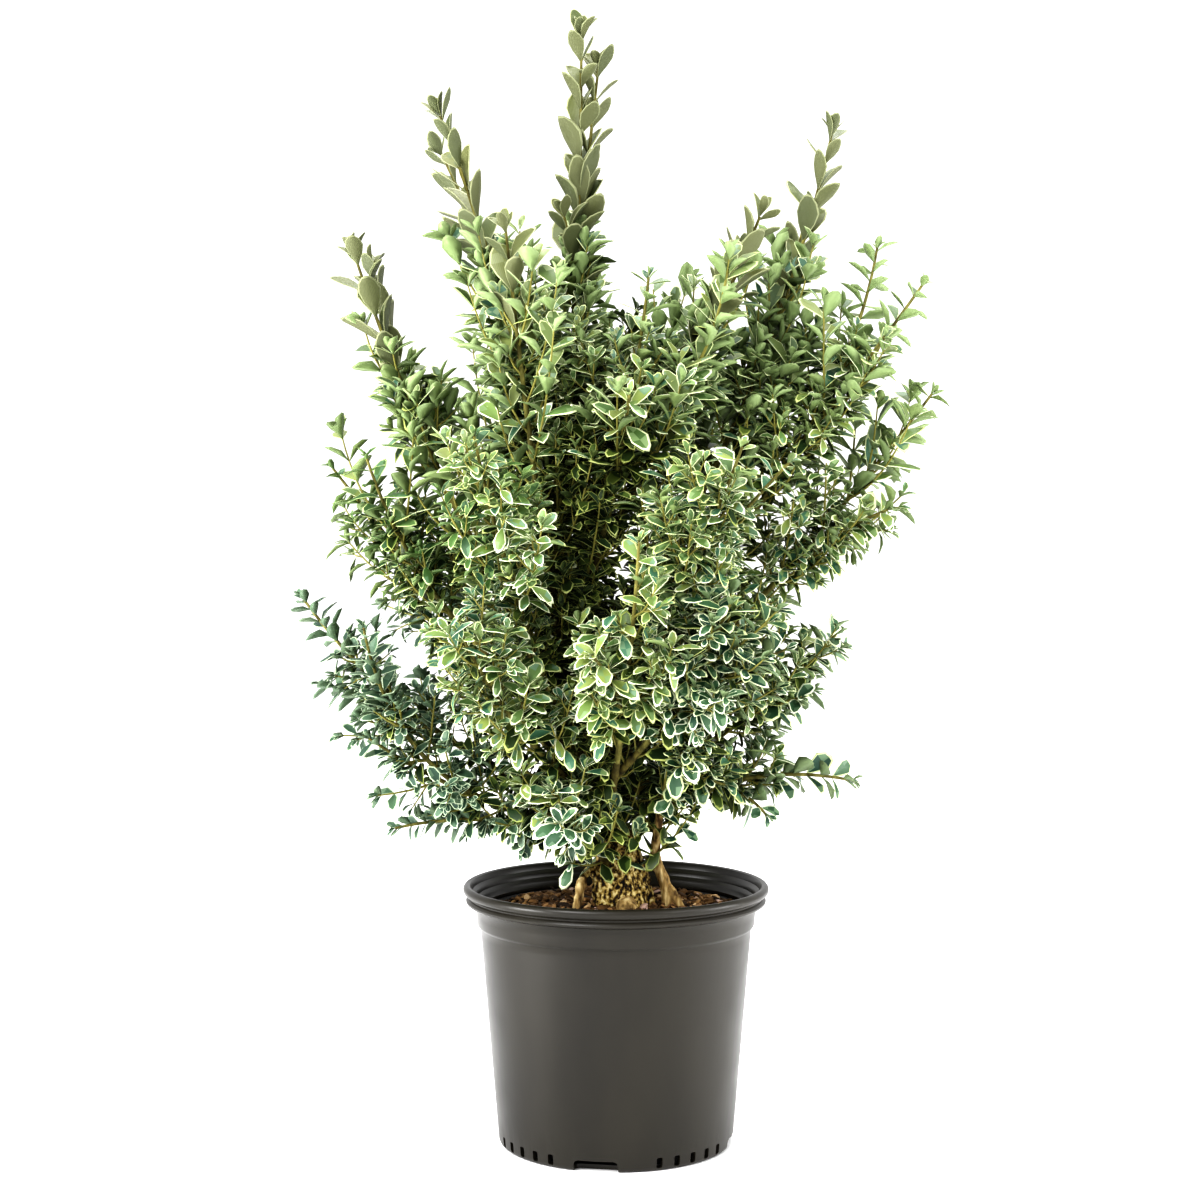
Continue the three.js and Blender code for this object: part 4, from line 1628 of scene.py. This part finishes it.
@dataclass
class Trunk:
    """The burl, the main stem with its knob and spur, the side stem on its toes, and the boughs."""

    KNOT_SEED = 77
    STEM_SIDES = 40
    STEM_RINGS = 130

    growth: Growth
    girth: tuple[Span, ...] = (
        *((180, 25), (195, 22.5), (218, 19.5), (240, 13)),
        *((268, 7.0), (350, 4.6), (580, 2.8)),
    )
    soil_level: float = 187
    trimmed_under: float = 3

    # The burl's lobes, and the finer ribs on them: how many, how far they turn in a millimetre, and how high
    lobes: int = 5
    lobe_turn: float = 0.05
    lobe_relief: float = 0.1
    ribs: int = 9
    rib_turn: float = 0.11
    rib_share: float = 0.5
    burl_top: float = 236
    burl_fade: float = 30
    lean: float = 5

    # What grows out of the burl
    knob: Triple = (8, -27, 188)
    knob_radius: float = 9
    spur_foot: Triple = (-31, -17, 182)
    spur_top: Triple = (-25, -13, 211)
    spur_root: Triple = (-8, -2, 224)
    spur_radii: Span = (4.0, 3)
    pale_margin: float = 1.5
    knots: int = 16
    knot_heights: Span = (192, 240)
    knot_radii: Span = (3.2, 6.0)
    knot_at: float = 0.9

    # The skin: its grain, the size and depth of its lumps, and where the young bark takes over
    grain: float = 1.2
    burl_lumps: Span = (13, 4.2)
    burl_grain: Span = (4.5, 2.2)
    bough_lumps: Span = (7, 1.1)
    stem_from: float = 250
    stem_wavers: tuple[Span, Span] = ((6, 0.7), (4, 1.1))
    stem_lumps: float = 0.3

    # The side stem
    side_radii: Span = (5.6, 3.0)
    toe: tuple[Triple, ...] = ((53, -13, 182), (47, -12, 194), (40, -8, 204))
    toe_end: float = 3.4
    side_grain: float = 0.8
    side_lumps: Span = (6, 1.2)

    burl_bark: BarkFinish = BarkFinish(
        "bark_burl",
        (
            *(linear(16, 10, 3), linear(62, 46, 18), linear(140, 116, 60)),
            *(linear(190, 166, 98), linear(230, 214, 158)),
        ),
        *(0.8, 330, 0.13, 0.9),
    )
    stem_bark: BarkFinish = BarkFinish(
        "bark_stem", (linear(62, 60, 26), linear(108, 104, 50), linear(156, 150, 84)), 0.25, 240, 0.2, 0.5
    )
    pale_bark: BarkFinish = BarkFinish(
        "bark_pale", (linear(74, 54, 28), linear(164, 138, 88), linear(222, 202, 152)), 0.3, 190, 0.15
    )
    bough_bark: BarkFinish = BarkFinish(
        "bark_brown", (linear(48, 42, 20), linear(88, 80, 40), linear(128, 118, 62)), 0.3
    )

    def build_burl(self) -> bpy.types.Object:
        """The trunk as one skin: lobed burl, main stem, knob and spur, with lumps and cracks.

        Returns:
            The trunk.
        """
        stem = self.stem_tube()
        bpy.ops.mesh.primitive_ico_sphere_add(
            subdivisions=4, radius=self.knob_radius * MM, location=Vector(self.knob) * MM
        )
        knob = bpy.context.active_object
        spur_route = Route.through((self.spur_foot, self.spur_top, self.spur_root))
        spur = tubes("spur", [Wood(spur_route, *self.spur_radii)], step=3, roundness=3)
        trunk = joined(stem, (knob, spur, *self.build_knots()))
        trunk.name = "trunk_bark"
        with_modifier(trunk, "REMESH", mode="VOXEL", voxel_size=self.grain * MM)
        self.mark_burl(trunk)
        self.roughen(trunk, self.burl_lumps, "burl_lumps", "burl")
        self.roughen(trunk, self.burl_grain, "burl_grain", "burl")
        self.trim_below_soil(trunk)
        trunk.data.shade_smooth()
        return trunk

    def girth_at(self, height: float) -> float:
        """The stem's radius at a height."""
        return float(np.interp(height, *zip(*self.girth)))

    def stem_tube(self) -> bpy.types.Object:
        """The main stem as rings drawn one after another up the trunk's route.

        Returns:
            The stem, closed at both ends.
        """
        sides, rings = self.STEM_SIDES, self.STEM_RINGS
        route = self.growth.trunk
        places, corners = [], []
        for ring in range(rings + 1):
            share = ring / rings
            centre, along = route.at(share), route.along(share)
            height = centre[2]
            base = self.girth_at(height)
            swell = clamp((self.burl_top + self.burl_fade - height) / self.burl_fade, 0.0, 1.0)
            for k in range(sides):
                angle = 2 * math.pi * k / sides
                lobe = math.sin(self.lobes * angle + self.lobe_turn * height)
                lobe += self.rib_share * math.sin(self.ribs * angle - self.rib_turn * height)
                radius = base * (1 + self.lobe_relief * lobe * swell)
                aside = np.array([self.lean * swell, 0, 0])
                places.append(centre + aside + square_to(along, math.degrees(angle)) * radius)
        for ring in range(rings):
            for k in range(sides):
                a, b = ring * sides + k, ring * sides + (k + 1) % sides
                corners.extend((a, b, b + sides, a + sides))
        sizes = [4] * (rings * sides)
        corners.extend(reversed(range(sides)))
        corners.extend(range(rings * sides, (rings + 1) * sides))
        sizes += [sides, sides]
        mesh = joined_mesh("trunk_stem", np.array(places) * MM, corners, sizes, [0] * len(sizes))
        return linked("trunk_stem", mesh)

    def build_knots(self) -> list[bpy.types.Object]:
        """Rounded knots of old cut shoots over the burl.

        Returns:
            The knots.
        """
        random = RandomStream(self.KNOT_SEED)
        made = []
        for _ in range(self.knots):
            height = random.between(*self.knot_heights)
            bearing = random.between(0, 2 * math.pi)
            radius = self.girth_at(height)
            centre = self.growth.trunk_point(height)
            outward = np.array([math.cos(bearing), math.sin(bearing), 0])
            bpy.ops.mesh.primitive_ico_sphere_add(
                subdivisions=3,
                radius=random.between(*self.knot_radii) * MM,
                location=Vector(centre + outward * radius * self.knot_at + (self.lean, 0, 0)) * MM,
            )
            made.append(bpy.context.active_object)
        return made

    def mark_burl(self, piece: bpy.types.Object) -> None:
        """Marks the burl's points in full and the young stem's lightly, for the roughening."""
        marked = piece.vertex_groups.new(name="burl")
        for vertex in piece.data.vertices:
            fade = (self.stem_from - vertex.co.z / MM) / self.burl_fade
            marked.add([vertex.index], clamp(fade, self.stem_lumps, 1.0), "REPLACE")

    def roughen(self, piece: bpy.types.Object, lumps: Span, name: str, group: str = "") -> None:
        """Moves a skin in and out by a cloudy pattern.

        Args:
            piece: the skin.
            lumps: the size of a cloud and how far the skin moves, in millimetres.
            name: the pattern's name.
            group: the group of points that it moves, if not all.
        """
        size, depth = lumps
        clouds = bpy.data.textures.new(name, "CLOUDS")
        clouds.noise_scale = size * MM
        clouds.noise_depth = 3
        settings = {"texture": clouds, "strength": depth * MM, "mid_level": 0.5, "texture_coords": "LOCAL"}
        with_modifier(piece, "DISPLACE", vertex_group=group, **settings)

    def trim_below_soil(self, piece: bpy.types.Object) -> None:
        """Cuts a piece off flat just under the soil and closes the cut."""
        cut = (0, 0, (self.soil_level - self.trimmed_under) * MM)
        only(piece)
        bpy.ops.object.mode_set(mode="EDIT")
        bpy.ops.mesh.select_all(action="SELECT")
        bpy.ops.mesh.bisect(plane_co=cut, plane_no=(0, 0, 1), clear_inner=True, use_fill=True)
        bpy.ops.object.mode_set(mode="OBJECT")

    def build_side_stem(self) -> bpy.types.Object:
        """The pale side stem and its second toe as one skin.

        Returns:
            The side stem.
        """
        leg = Wood(self.growth.side_stem, *self.side_radii)
        toe = Wood(Route.through(self.toe), self.side_radii[1], self.toe_end)
        stem = tubes("side_stem_bark", [leg, toe], step=2, roundness=6)
        with_modifier(stem, "REMESH", mode="VOXEL", voxel_size=self.side_grain * MM)
        self.roughen(stem, self.side_lumps, "side_stem_lumps")
        self.trim_below_soil(stem)
        stem.data.shade_smooth()
        return stem

    def build_boughs(self) -> bpy.types.Object:
        """All boughs, each a tapering limb with a lumpy skin.

        Returns:
            The boughs as one piece.
        """
        boughs = tubes("bough_bark", self.growth.boughs, step=3.2, roundness=4)
        self.roughen(boughs, self.bough_lumps, "bough_lumps")
        return boughs

    def dress(self) -> None:
        """Builds the wood, gives it its bark and lets it stand for the CAD nodes."""
        pale = self.pale_bark.material()
        trunk, side_stem, boughs = self.build_burl(), self.build_side_stem(), self.build_boughs()
        clad(trunk, self.burl_bark.material(), self.stem_bark.material(), pale)
        clad(side_stem, pale)
        clad(boughs, self.bough_bark.material())
        for piece in (trunk, side_stem, boughs):
            settle(piece)
        self.share_bark(trunk)
        stand_for(trunk, ["trunk"])
        stand_for(side_stem, ["side_stem"])
        stand_for(boughs, [f"bough_{plan.name}" for plan in MASSES if plan.fork is not None])

    def share_bark(self, trunk: bpy.types.Object) -> None:
        """Gives the stem above the burl its smoother young bark, and the knob and the spur their pale one."""
        young, pale = 1, 2
        stub = [Vector(place) * MM for place in (self.spur_foot, self.spur_top)]
        spur_reach = (self.spur_radii[0] + self.pale_margin) * MM
        knob_reach = (self.knob_radius + self.pale_margin) * MM
        (high_x, turn_x), (high_y, turn_y) = self.stem_wavers
        for face in trunk.data.polygons:
            place = face.center
            near, share = intersect_point_line(place, *stub)
            on_spur = share < 1 and (near - place).length < spur_reach
            if on_spur or (place - Vector(self.knob) * MM).length < knob_reach:
                face.material_index = pale
            waver = high_x * math.sin(place.x / MM * turn_x) + high_y * math.sin(place.y / MM * turn_y)
            if place.z / MM > self.stem_from + waver:
                face.material_index = young


# The pot and the soil


@dataclass(frozen=True)
class PotFinish:
    """Black nursery plastic: dark grey, with a soft shine and faint flow clouds."""

    name: str = "pot_plastic"
    dark: Colour = linear(25, 23, 19)
    light: Colour = linear(40, 37, 30)
    specular: float = 0.3
    roughness: Span = (0.28, 0.38)
    relief: Span = (0.04, 0.0005)

    def material(self) -> bpy.types.Material:
        """Builds the material."""
        made = MaterialMaker(self.name)
        clouds = made.noise(9, 4, (1, 1, 0.35))
        made.colours(clouds, ((0.3, self.dark), (0.7, self.light)))
        made.shine(self.specular, made.noise(scale=24, detail=2), *self.roughness)
        made.bump(made.noise(300, 2, (1, 1, 0.15)), *self.relief)
        return made.material


@dataclass
class Pot:
    """The round nursery pot with its rolled lip, collar, foot notches and drain slots.

    Its outline is drawn in steps, each a way out and a way up from where a stretch of the wall starts.
    """

    height: float = 204
    base: float = 92
    shoulder: float = 106.4
    shoulder_height: float = 171
    collar: float = 109
    collar_top: float = 180
    lip: float = 120
    wall: float = 2.4
    floor: float = 3.5
    sides: int = 160
    crease: float = 32
    foot_steps: tuple[Span, ...] = (
        *((-4.5, 0), (-2.2, 0.5), (-0.6, 1.8), (0.2, 4)),
        *((2.3, 28), (6.3, 75), (10.5, 125)),
    )
    shoulder_steps: tuple[Span, ...] = ((-0.5, -6), (0, -0.6), (0.7, 0.4))
    ledge_steps: tuple[Span, ...] = ((-0.5, 1.6), (0, 2.8))
    collar_steps: tuple[Span, ...] = ((0.3, 0), (1.1, 4.4))
    flange_steps: tuple[Span, ...] = (
        *((-7.4, 188.4), (-4.2, 189.2), (-2.5, 190.3), (-2.2, 191.8), (-3.0, 193.4)),
        *((-4.4, 194.3), (-4.2, 195.4)),
    )
    bead: Span = (3.4, 3.8)
    bead_turns: tuple[float, ...] = (-42, -20, 4, 28, 52, 74, 94)
    throat_steps: tuple[Span, ...] = (
        *((-5.4, -0.7), (-6.6, -2.6), (-7.2, -5.4), (-9.6, -7.2)),
        *((-10.6, -8.6), (-10.9, -11), (-12.8, -12.6)),
    )
    ridges: int = 10
    ridge_top: float = 189.4
    ridge_step: float = 1.7
    ridge_relief: tuple[float, ...] = (1.6, 1.2, 0, 0.1)
    wall_heights: tuple[float, ...] = (150, 110, 60, 15)
    floor_steps: tuple[Span, ...] = ((-1.5, 0.6), (-4, 0))
    floor_from: float = 5
    notch_first: float = -10
    notches: int = 4
    notch_size: Triple = (34, 22, 18)
    notch_corner: float = 3.5
    slot_corner: float = 1.2
    slot_start: float = 30.5
    slot_step: float = 9.2
    slots: int = 5
    slot_size: Triple = (4.8, 12, 8)
    slot_height: float = 6.6

    def inner(self, height: float) -> float:
        """The wall's inner radius at a height."""
        slope = (self.shoulder - self.base) / self.shoulder_height
        return self.base + slope * min(height, self.collar_top) - self.wall

    def outside(self) -> list[Span]:
        """The outer wall as radius and height, from the foot up to the rolled lip's bead."""
        return [
            (radius + out, height + up)
            for radius, height, steps in (
                (self.base, 0, self.foot_steps),
                (self.shoulder, self.shoulder_height, self.shoulder_steps),
                (self.collar, self.shoulder_height, self.ledge_steps),
                (self.collar, self.collar_top, self.collar_steps),
                (self.lip, 0, self.flange_steps),
            )
            for out, up in steps
        ]

    def lip_bead(self) -> list[Span]:
        """The bead on top of the rolled lip."""
        wide, high = self.bead
        turns = (math.radians(degrees) for degrees in self.bead_turns)
        return [
            (self.lip - wide + wide * math.cos(angle), self.height - high + high * math.sin(angle))
            for angle in turns
        ]

    def inside(self) -> list[Span]:
        """The inner wall, from the bead down over its ridges to the floor."""
        throat = [(self.lip + out, self.height + up) for out, up in self.throat_steps]
        ridges = []
        for k in range(self.ridges):
            height = self.ridge_top - self.ridge_step * k
            ridges.append((self.inner(height) + self.ridge_relief[k % len(self.ridge_relief)], height))
        wall = [(self.inner(height), height) for height in self.wall_heights]
        floor = [(self.inner(self.floor_from) + out, self.floor + up) for out, up in self.floor_steps]
        return [*throat, *ridges, *wall, *floor]

    def build(self) -> bpy.types.Object:
        """Draws the pot up from a circle, ring by ring, and cuts its notches and slots.

        Returns:
            The pot.
        """
        rings = [*self.outside(), *self.lip_bead(), *self.inside()]
        only_none()
        bpy.ops.mesh.primitive_circle_add(
            vertices=self.sides, radius=rings[0][0] * MM, fill_type="NGON", location=(0, 0, rings[0][1] * MM)
        )
        pot = bpy.context.active_object
        pot.name = "pot_plastic"
        bpy.ops.object.mode_set(mode="EDIT")
        bpy.ops.mesh.select_all(action="SELECT")
        bpy.ops.mesh.flip_normals()
        bpy.ops.mesh.select_mode(type="EDGE")
        bpy.ops.mesh.select_all(action="SELECT")
        radius, height = rings[0]
        for next_radius, next_height in rings[1:]:
            scale = next_radius / radius
            move = (0, 0, (next_height - height) * MM)
            bpy.ops.mesh.extrude_region_move(TRANSFORM_OT_translate={"value": move})
            bpy.ops.transform.resize(value=(scale, scale, 1), center_override=(0, 0, next_height * MM))
            radius, height = next_radius, next_height
        bpy.ops.mesh.edge_face_add()
        bpy.ops.mesh.select_all(action="SELECT")
        bpy.ops.mesh.remove_doubles(threshold=1e-6)
        bpy.ops.mesh.normals_make_consistent(inside=False)
        bpy.ops.object.mode_set(mode="OBJECT")
        self.cut_foot(pot)
        settle(pot)
        pot.data.shade_smooth()
        only(pot)
        bpy.ops.object.shade_smooth_by_angle(angle=math.radians(self.crease))
        return pot

    def cutter(self, size: Triple, bearing: float, height: float, corner: float) -> bpy.types.Object:
        """A block with rounded corners that cuts the pot's bottom edge.

        Args:
            size: its size along, across and up.
            bearing: where it stands round the pot, in degrees from the front.
            height: the height of its middle.
            corner: the radius of its corners.

        Returns:
            The block.
        """
        bpy.ops.mesh.primitive_cube_add(size=1)
        block = bpy.context.active_object
        block.scale = Vector(size) * MM
        angle = math.radians(bearing)
        block.location = Vector((math.sin(angle) * self.base, -math.cos(angle) * self.base, height)) * MM
        block.rotation_euler = (0, 0, angle)
        settle(block)
        with_modifier(block, "BEVEL", width=corner * MM, segments=2)
        return block

    def cut_foot(self, pot: bpy.types.Object) -> None:
        """Cuts the wide notches and the small drain slots round the foot."""
        blocks = []
        for i in range(self.notches):
            bearing = self.notch_first + i * FULL_TURN / self.notches
            blocks.append(self.cutter(self.notch_size, bearing, 0, self.notch_corner))
            for k in range(self.slots):
                turn = bearing + self.slot_start + k * self.slot_step
                blocks.append(self.cutter(self.slot_size, turn, self.slot_height, self.slot_corner))
        tool = joined(blocks[0], blocks[1:])
        with_modifier(pot, "BOOLEAN", operation="DIFFERENCE", object=tool, solver="EXACT")
        bpy.data.objects.remove(tool, do_unlink=True)

    def dress(self) -> None:
        """Builds the pot and gives it its plastic."""
        pot = self.build()
        clad(pot, PotFinish().material())
        stand_for(pot, ["pot"])


@dataclass
class Soil:
    """The bark mix: a lumpy bed, level round the stems and lower at the wall, strewn with chips."""

    FLAKE = ((-1, -0.5), (-0.2, -0.9), (0.9, -0.6), (1, 0.3), (0.1, 0.8), (-0.9, 0.5))

    level: float = 187
    level_radius: float = 54
    edge: float = 179
    radius: float = 104.2
    depth: float = 30
    sides: int = 96
    insets: int = 26
    insets_in_radius: float = 28
    bed_lump: float = 1.3
    rim: float = 1

    # The chips: how many, how far out, and their least size, its spread and how rare large ones are
    chips: int = 2100
    chips_within: float = 0.985
    chip_size: Triple = (1.2, 5.2, 2.6)
    chip_breadth: Span = (0.35, 0.95)
    chip_thickness: Span = (0.16, 0.4)
    chip_tilts: Span = (0.8, 0.7)
    chip_rise: Span = (-0.3, 1.2)
    chip_lift: float = 0.15
    chip_wobble: Span = (0.75, 1.15)
    chip_top: float = 0.82
    seed: int = 9
    tones: tuple[tuple[Colour, float], ...] = (
        (linear(78, 58, 36), 0.3),
        (linear(106, 80, 50), 0.25),
        (linear(140, 108, 70), 0.18),
        (linear(40, 28, 16), 0.12),
        (linear(150, 118, 76), 0.07),
        (linear(200, 170, 128), 0.05),
        (linear(190, 162, 148), 0.04),
    )
    fines: BarkFinish = BarkFinish(
        "soil_fines", (linear(38, 26, 14), linear(74, 54, 33), linear(110, 84, 54)), 1, 260
    )

    def height(self, reach: float) -> float:
        """The bed's height at a distance from the pot's axis."""
        fall = clamp((reach - self.level_radius) / (self.radius - self.level_radius), 0.0, 1.0)
        return self.level - (self.level - self.edge) * fall * fall

    def build_bed(self) -> bpy.types.Object:
        """The bed as a closed lumpy disc, inset ring by ring from a circle.

        Returns:
            The bed.
        """
        only_none()
        bpy.ops.mesh.primitive_circle_add(
            vertices=self.sides, radius=self.radius * MM, fill_type="NGON", location=(0, 0, self.edge * MM)
        )
        bed = bpy.context.active_object
        bed.name = "soil_bed"
        bpy.ops.object.mode_set(mode="EDIT")
        bpy.ops.mesh.select_all(action="SELECT")
        bpy.ops.mesh.extrude_region_move(TRANSFORM_OT_translate={"value": (0, 0, -self.depth * MM)})
        bpy.ops.mesh.select_all(action="SELECT")
        bpy.ops.mesh.normals_make_consistent(inside=False)
        bpy.ops.object.mode_set(mode="OBJECT")
        self.pick_top(bed)
        bpy.ops.object.mode_set(mode="EDIT")
        for _ in range(self.insets):
            bpy.ops.mesh.inset(thickness=self.radius / self.insets_in_radius * MM)
        bpy.ops.object.mode_set(mode="OBJECT")
        random = RandomStream(self.seed)
        for vertex in bed.data.vertices:
            if vertex.co.z > -1 * MM:
                reach = math.hypot(vertex.co.x, vertex.co.y) / MM
                lump = random.within(self.bed_lump) if reach < self.radius - self.rim else 0
                vertex.co.z = (self.height(reach) + lump - self.edge) * MM
        settle(bed)
        bed.data.shade_smooth()
        return bed

    def pick_top(self, bed: bpy.types.Object) -> None:
        """Selects the bed's upper face only.

        Args:
            bed: the bed, in object mode.
        """
        for group in (bed.data.vertices, bed.data.edges, bed.data.polygons):
            for item in group:
                item.select = False
        top = max(bed.data.polygons, key=lambda face: face.center.z + face.normal.z)
        top.select = True

    def chip(self, random: RandomStream) -> list[Triple]:
        """One chip: a flat angular flake, tilted and half sunk in the bed.

        Args:
            random: the chips' stream of numbers.

        Returns:
            The corners of its under face and then those of its upper face.
        """
        reach = self.radius * math.sqrt(random.next()) * self.chips_within
        bearing = random.between(0, 2 * math.pi)
        least, more, rarity = self.chip_size
        size = least + more * random.next() ** rarity
        breadth = random.between(*self.chip_breadth)
        thick = size * random.between(*self.chip_thickness)
        turn = Matrix.Rotation(random.between(0, 2 * math.pi), 3, "Z")
        tilts = [Matrix.Rotation(random.within(most), 3, axis) for most, axis in zip(self.chip_tilts, "XY")]
        turn = turn @ (tilts[0] @ tilts[1])
        centre = Vector((reach * math.cos(bearing), reach * math.sin(bearing), self.height(reach)))
        centre.z += random.between(*self.chip_rise) + self.chip_lift * size
        corners = []
        for sign, shrink in ((-1, 1), (1, self.chip_top)):
            for x, y in self.FLAKE:
                wobble = random.between(*self.chip_wobble)
                along, across = x * size * wobble * shrink, y * size * breadth * wobble * shrink
                placed = turn @ Vector((along, across, sign * thick / 2)) + centre
                away = math.hypot(placed.x, placed.y)
                if away > self.radius:
                    placed.x *= self.radius / away
                    placed.y *= self.radius / away
                corners.append(placed[:])
        return corners

    def build_chips(self) -> bpy.types.Object:
        """The chips, strewn all over the bed in many sizes and tones.

        Returns:
            The chips as one piece.
        """
        random = RandomStream(self.seed + 1)
        shares = np.cumsum([share for _, share in self.tones])
        places, corners, sizes, slots = [], [], [], []
        n = len(self.FLAKE)
        for _ in range(self.chips):
            start = len(places)
            places += self.chip(random)
            tone = int(np.searchsorted(shares, random.next() * shares[-1]))
            corners.extend(start + k for k in reversed(range(n)))
            corners.extend(start + n + k for k in range(n))
            sizes += [n, n]
            for k in range(n):
                after = (k + 1) % n
                corners.extend((start + k, start + after, start + n + after, start + n + k))
                sizes.append(4)
            slots += [tone] * (n + 2)
        mesh = joined_mesh("soil_chips", np.array(places) * MM, corners, sizes, slots)
        for k, (colour, _) in enumerate(self.tones):
            mesh.materials.append(bark_chip(k, colour).material())
        return linked("soil_chips", mesh)

    def dress(self) -> None:
        """Builds the bed and the chips."""
        bed = self.build_bed()
        clad(bed, self.fines.material())
        stand_for(bed, ["soil"])
        stand_for(self.build_chips(), ["soil"])


# The plant's leaves and twigs as pieces


@dataclass
class Crown:
    """Every mass's stems, twigs and leaves, joined by kind into pieces."""

    DEAL_SEED = 5

    growth: Growth
    low_to: float = 400
    middle_to: float = 520
    shoot_tones: tuple[Colour, ...] = (linear(128, 124, 62), linear(160, 150, 80), linear(98, 96, 48))
    stem_bark: BarkFinish = BarkFinish(
        "stem_bark", (linear(66, 62, 30), linear(102, 98, 50), linear(140, 134, 76)), 0.25
    )

    def regions(self) -> dict[str, list[Leaf]]:
        """Deals the leaves by the part of the crown that they grow in.

        Returns:
            Each region's leaves by the name of its piece.
        """
        found: dict[str, list[Leaf]] = {}
        for leaf in self.growth.leaves:
            x, y, z = leaf.root
            level = "low" if z < self.low_to else "middle" if z < self.middle_to else "upper"
            face = "front" if y < 0 else "back"
            side = "left" if x < 0 else "right"
            found.setdefault(f"leaves_{level}_{face}_{side}", []).append(leaf)
        return found

    def dress(self) -> None:
        """Builds the stems, twigs and leaves and lets them stand for the masses."""
        nodes = [f"foliage_{plan.name}" for plan in MASSES]
        stems = tubes("stem_bark", self.growth.stems, step=6, roundness=2)
        clad(stems, self.stem_bark.material())
        stand_for(stems, nodes)
        random = RandomStream(self.DEAL_SEED)
        deal = [int(random.next() * len(self.shoot_tones)) for _ in self.growth.twigs]
        twigs = tubes("twigs", self.growth.twigs, step=12, roundness=0, slots=deal)
        clad(twigs, *(young_bark(k, colour).material() for k, colour in enumerate(self.shoot_tones)))
        stand_for(twigs, nodes)
        foliage = Foliage()
        for name, leaves in sorted(self.regions().items()):
            stand_for(foliage.build(name, leaves), nodes)
        logging.info("%d leaves, %d twigs", len(self.growth.leaves), len(self.growth.twigs))


# The stage


@dataclass(frozen=True)
class LightPlan:
    """A soft square light: its place and side in metres, its power in watts, and the point it faces."""

    name: str
    place: Triple
    size: float
    power: float
    aim: Triple = (0, 0, 0.45)

    def hang(self) -> None:
        """Adds the light to the scene."""
        lamp = bpy.data.lights.new(self.name, "AREA")
        lamp.size = self.size
        lamp.energy = self.power
        hung = linked(self.name, lamp)
        hung.location = self.place
        hung.rotation_euler = (Vector(self.aim) - Vector(self.place)).to_track_quat("-Z", "Y").to_euler()


@dataclass
class Studio:
    """The pale floor, the soft lights and the camera at the photograph's angle."""

    camera_place: Triple = (-0.0125, -1.78, 0.51)
    pitch: float = 0.04683
    focal_share: float = 2280 / 1200
    sensor: float = 36
    backdrop: Colour = (0.98, 0.98, 0.98)
    floor_side: float = 14
    floor_specular: float = 0.5
    floor_roughness: Span = (0.75, 0.9)
    lights: tuple[LightPlan, ...] = (
        LightPlan("key", (-1.6, -2.2, 2.4), 1.6, 92),
        LightPlan("fill", (2.2, -1.6, 1.4), 1.6, 22),
        LightPlan("top", (0.2, 0.6, 2.6), 1.4, 42),
        LightPlan("left_strip", (-1.5, -0.6, 0.3), 0.6, 24, (0, 0, 0.1)),
        LightPlan("right_strip", (1.6, -0.2, 0.3), 0.6, 13, (0, 0, 0.1)),
    )

    def lay_floor(self) -> None:
        """A wide pale sheet under the pot."""
        only_none()
        bpy.ops.mesh.primitive_plane_add(size=self.floor_side)
        sheet = bpy.context.active_object
        sheet.name = "floor"
        made = MaterialMaker("floor_paper")
        made.plain(self.backdrop)
        made.shine(self.floor_specular, made.noise(scale=20, detail=3), *self.floor_roughness)
        clad(sheet, made.material)

    def light_world(self) -> None:
        """Surrounds the scene with plain white light."""
        world = bpy.data.worlds.new("studio")
        world.use_nodes = True
        background = world.node_tree.nodes["Background"]
        MaterialMaker.fill(background, Color=(1, 1, 1, 1), Strength=1.0)
        bpy.context.scene.world = world

    def set_camera(self) -> None:
        """Puts the camera where the photograph was taken from, with its view's settings."""
        data = bpy.data.cameras.new("camera")
        data.sensor_width = self.sensor
        data.lens = self.focal_share * self.sensor
        camera = linked("camera", data)
        camera.location = self.camera_place
        camera.rotation_euler = (math.pi / 2 - self.pitch, 0, 0)
        scene = bpy.context.scene
        scene.camera = camera
        scene.view_settings.view_transform = "Standard"
        scene.view_settings.look = "High Contrast"

    def build(self) -> None:
        """Sets the whole stage."""
        self.lay_floor()
        self.light_world()
        for plan in self.lights:
            plan.hang()
        self.set_camera()


def main() -> None:
    """Builds the plant around its frame, class by class."""
    logging.basicConfig(level=logging.INFO, format="%(message)s")
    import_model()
    Studio().build()
    growth = Growth()
    growth.grow()
    Pot().dress()
    Soil().dress()
    Trunk(growth).dress()
    Crown(growth).dress()
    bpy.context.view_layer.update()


if __name__ == "__main__":
    main()
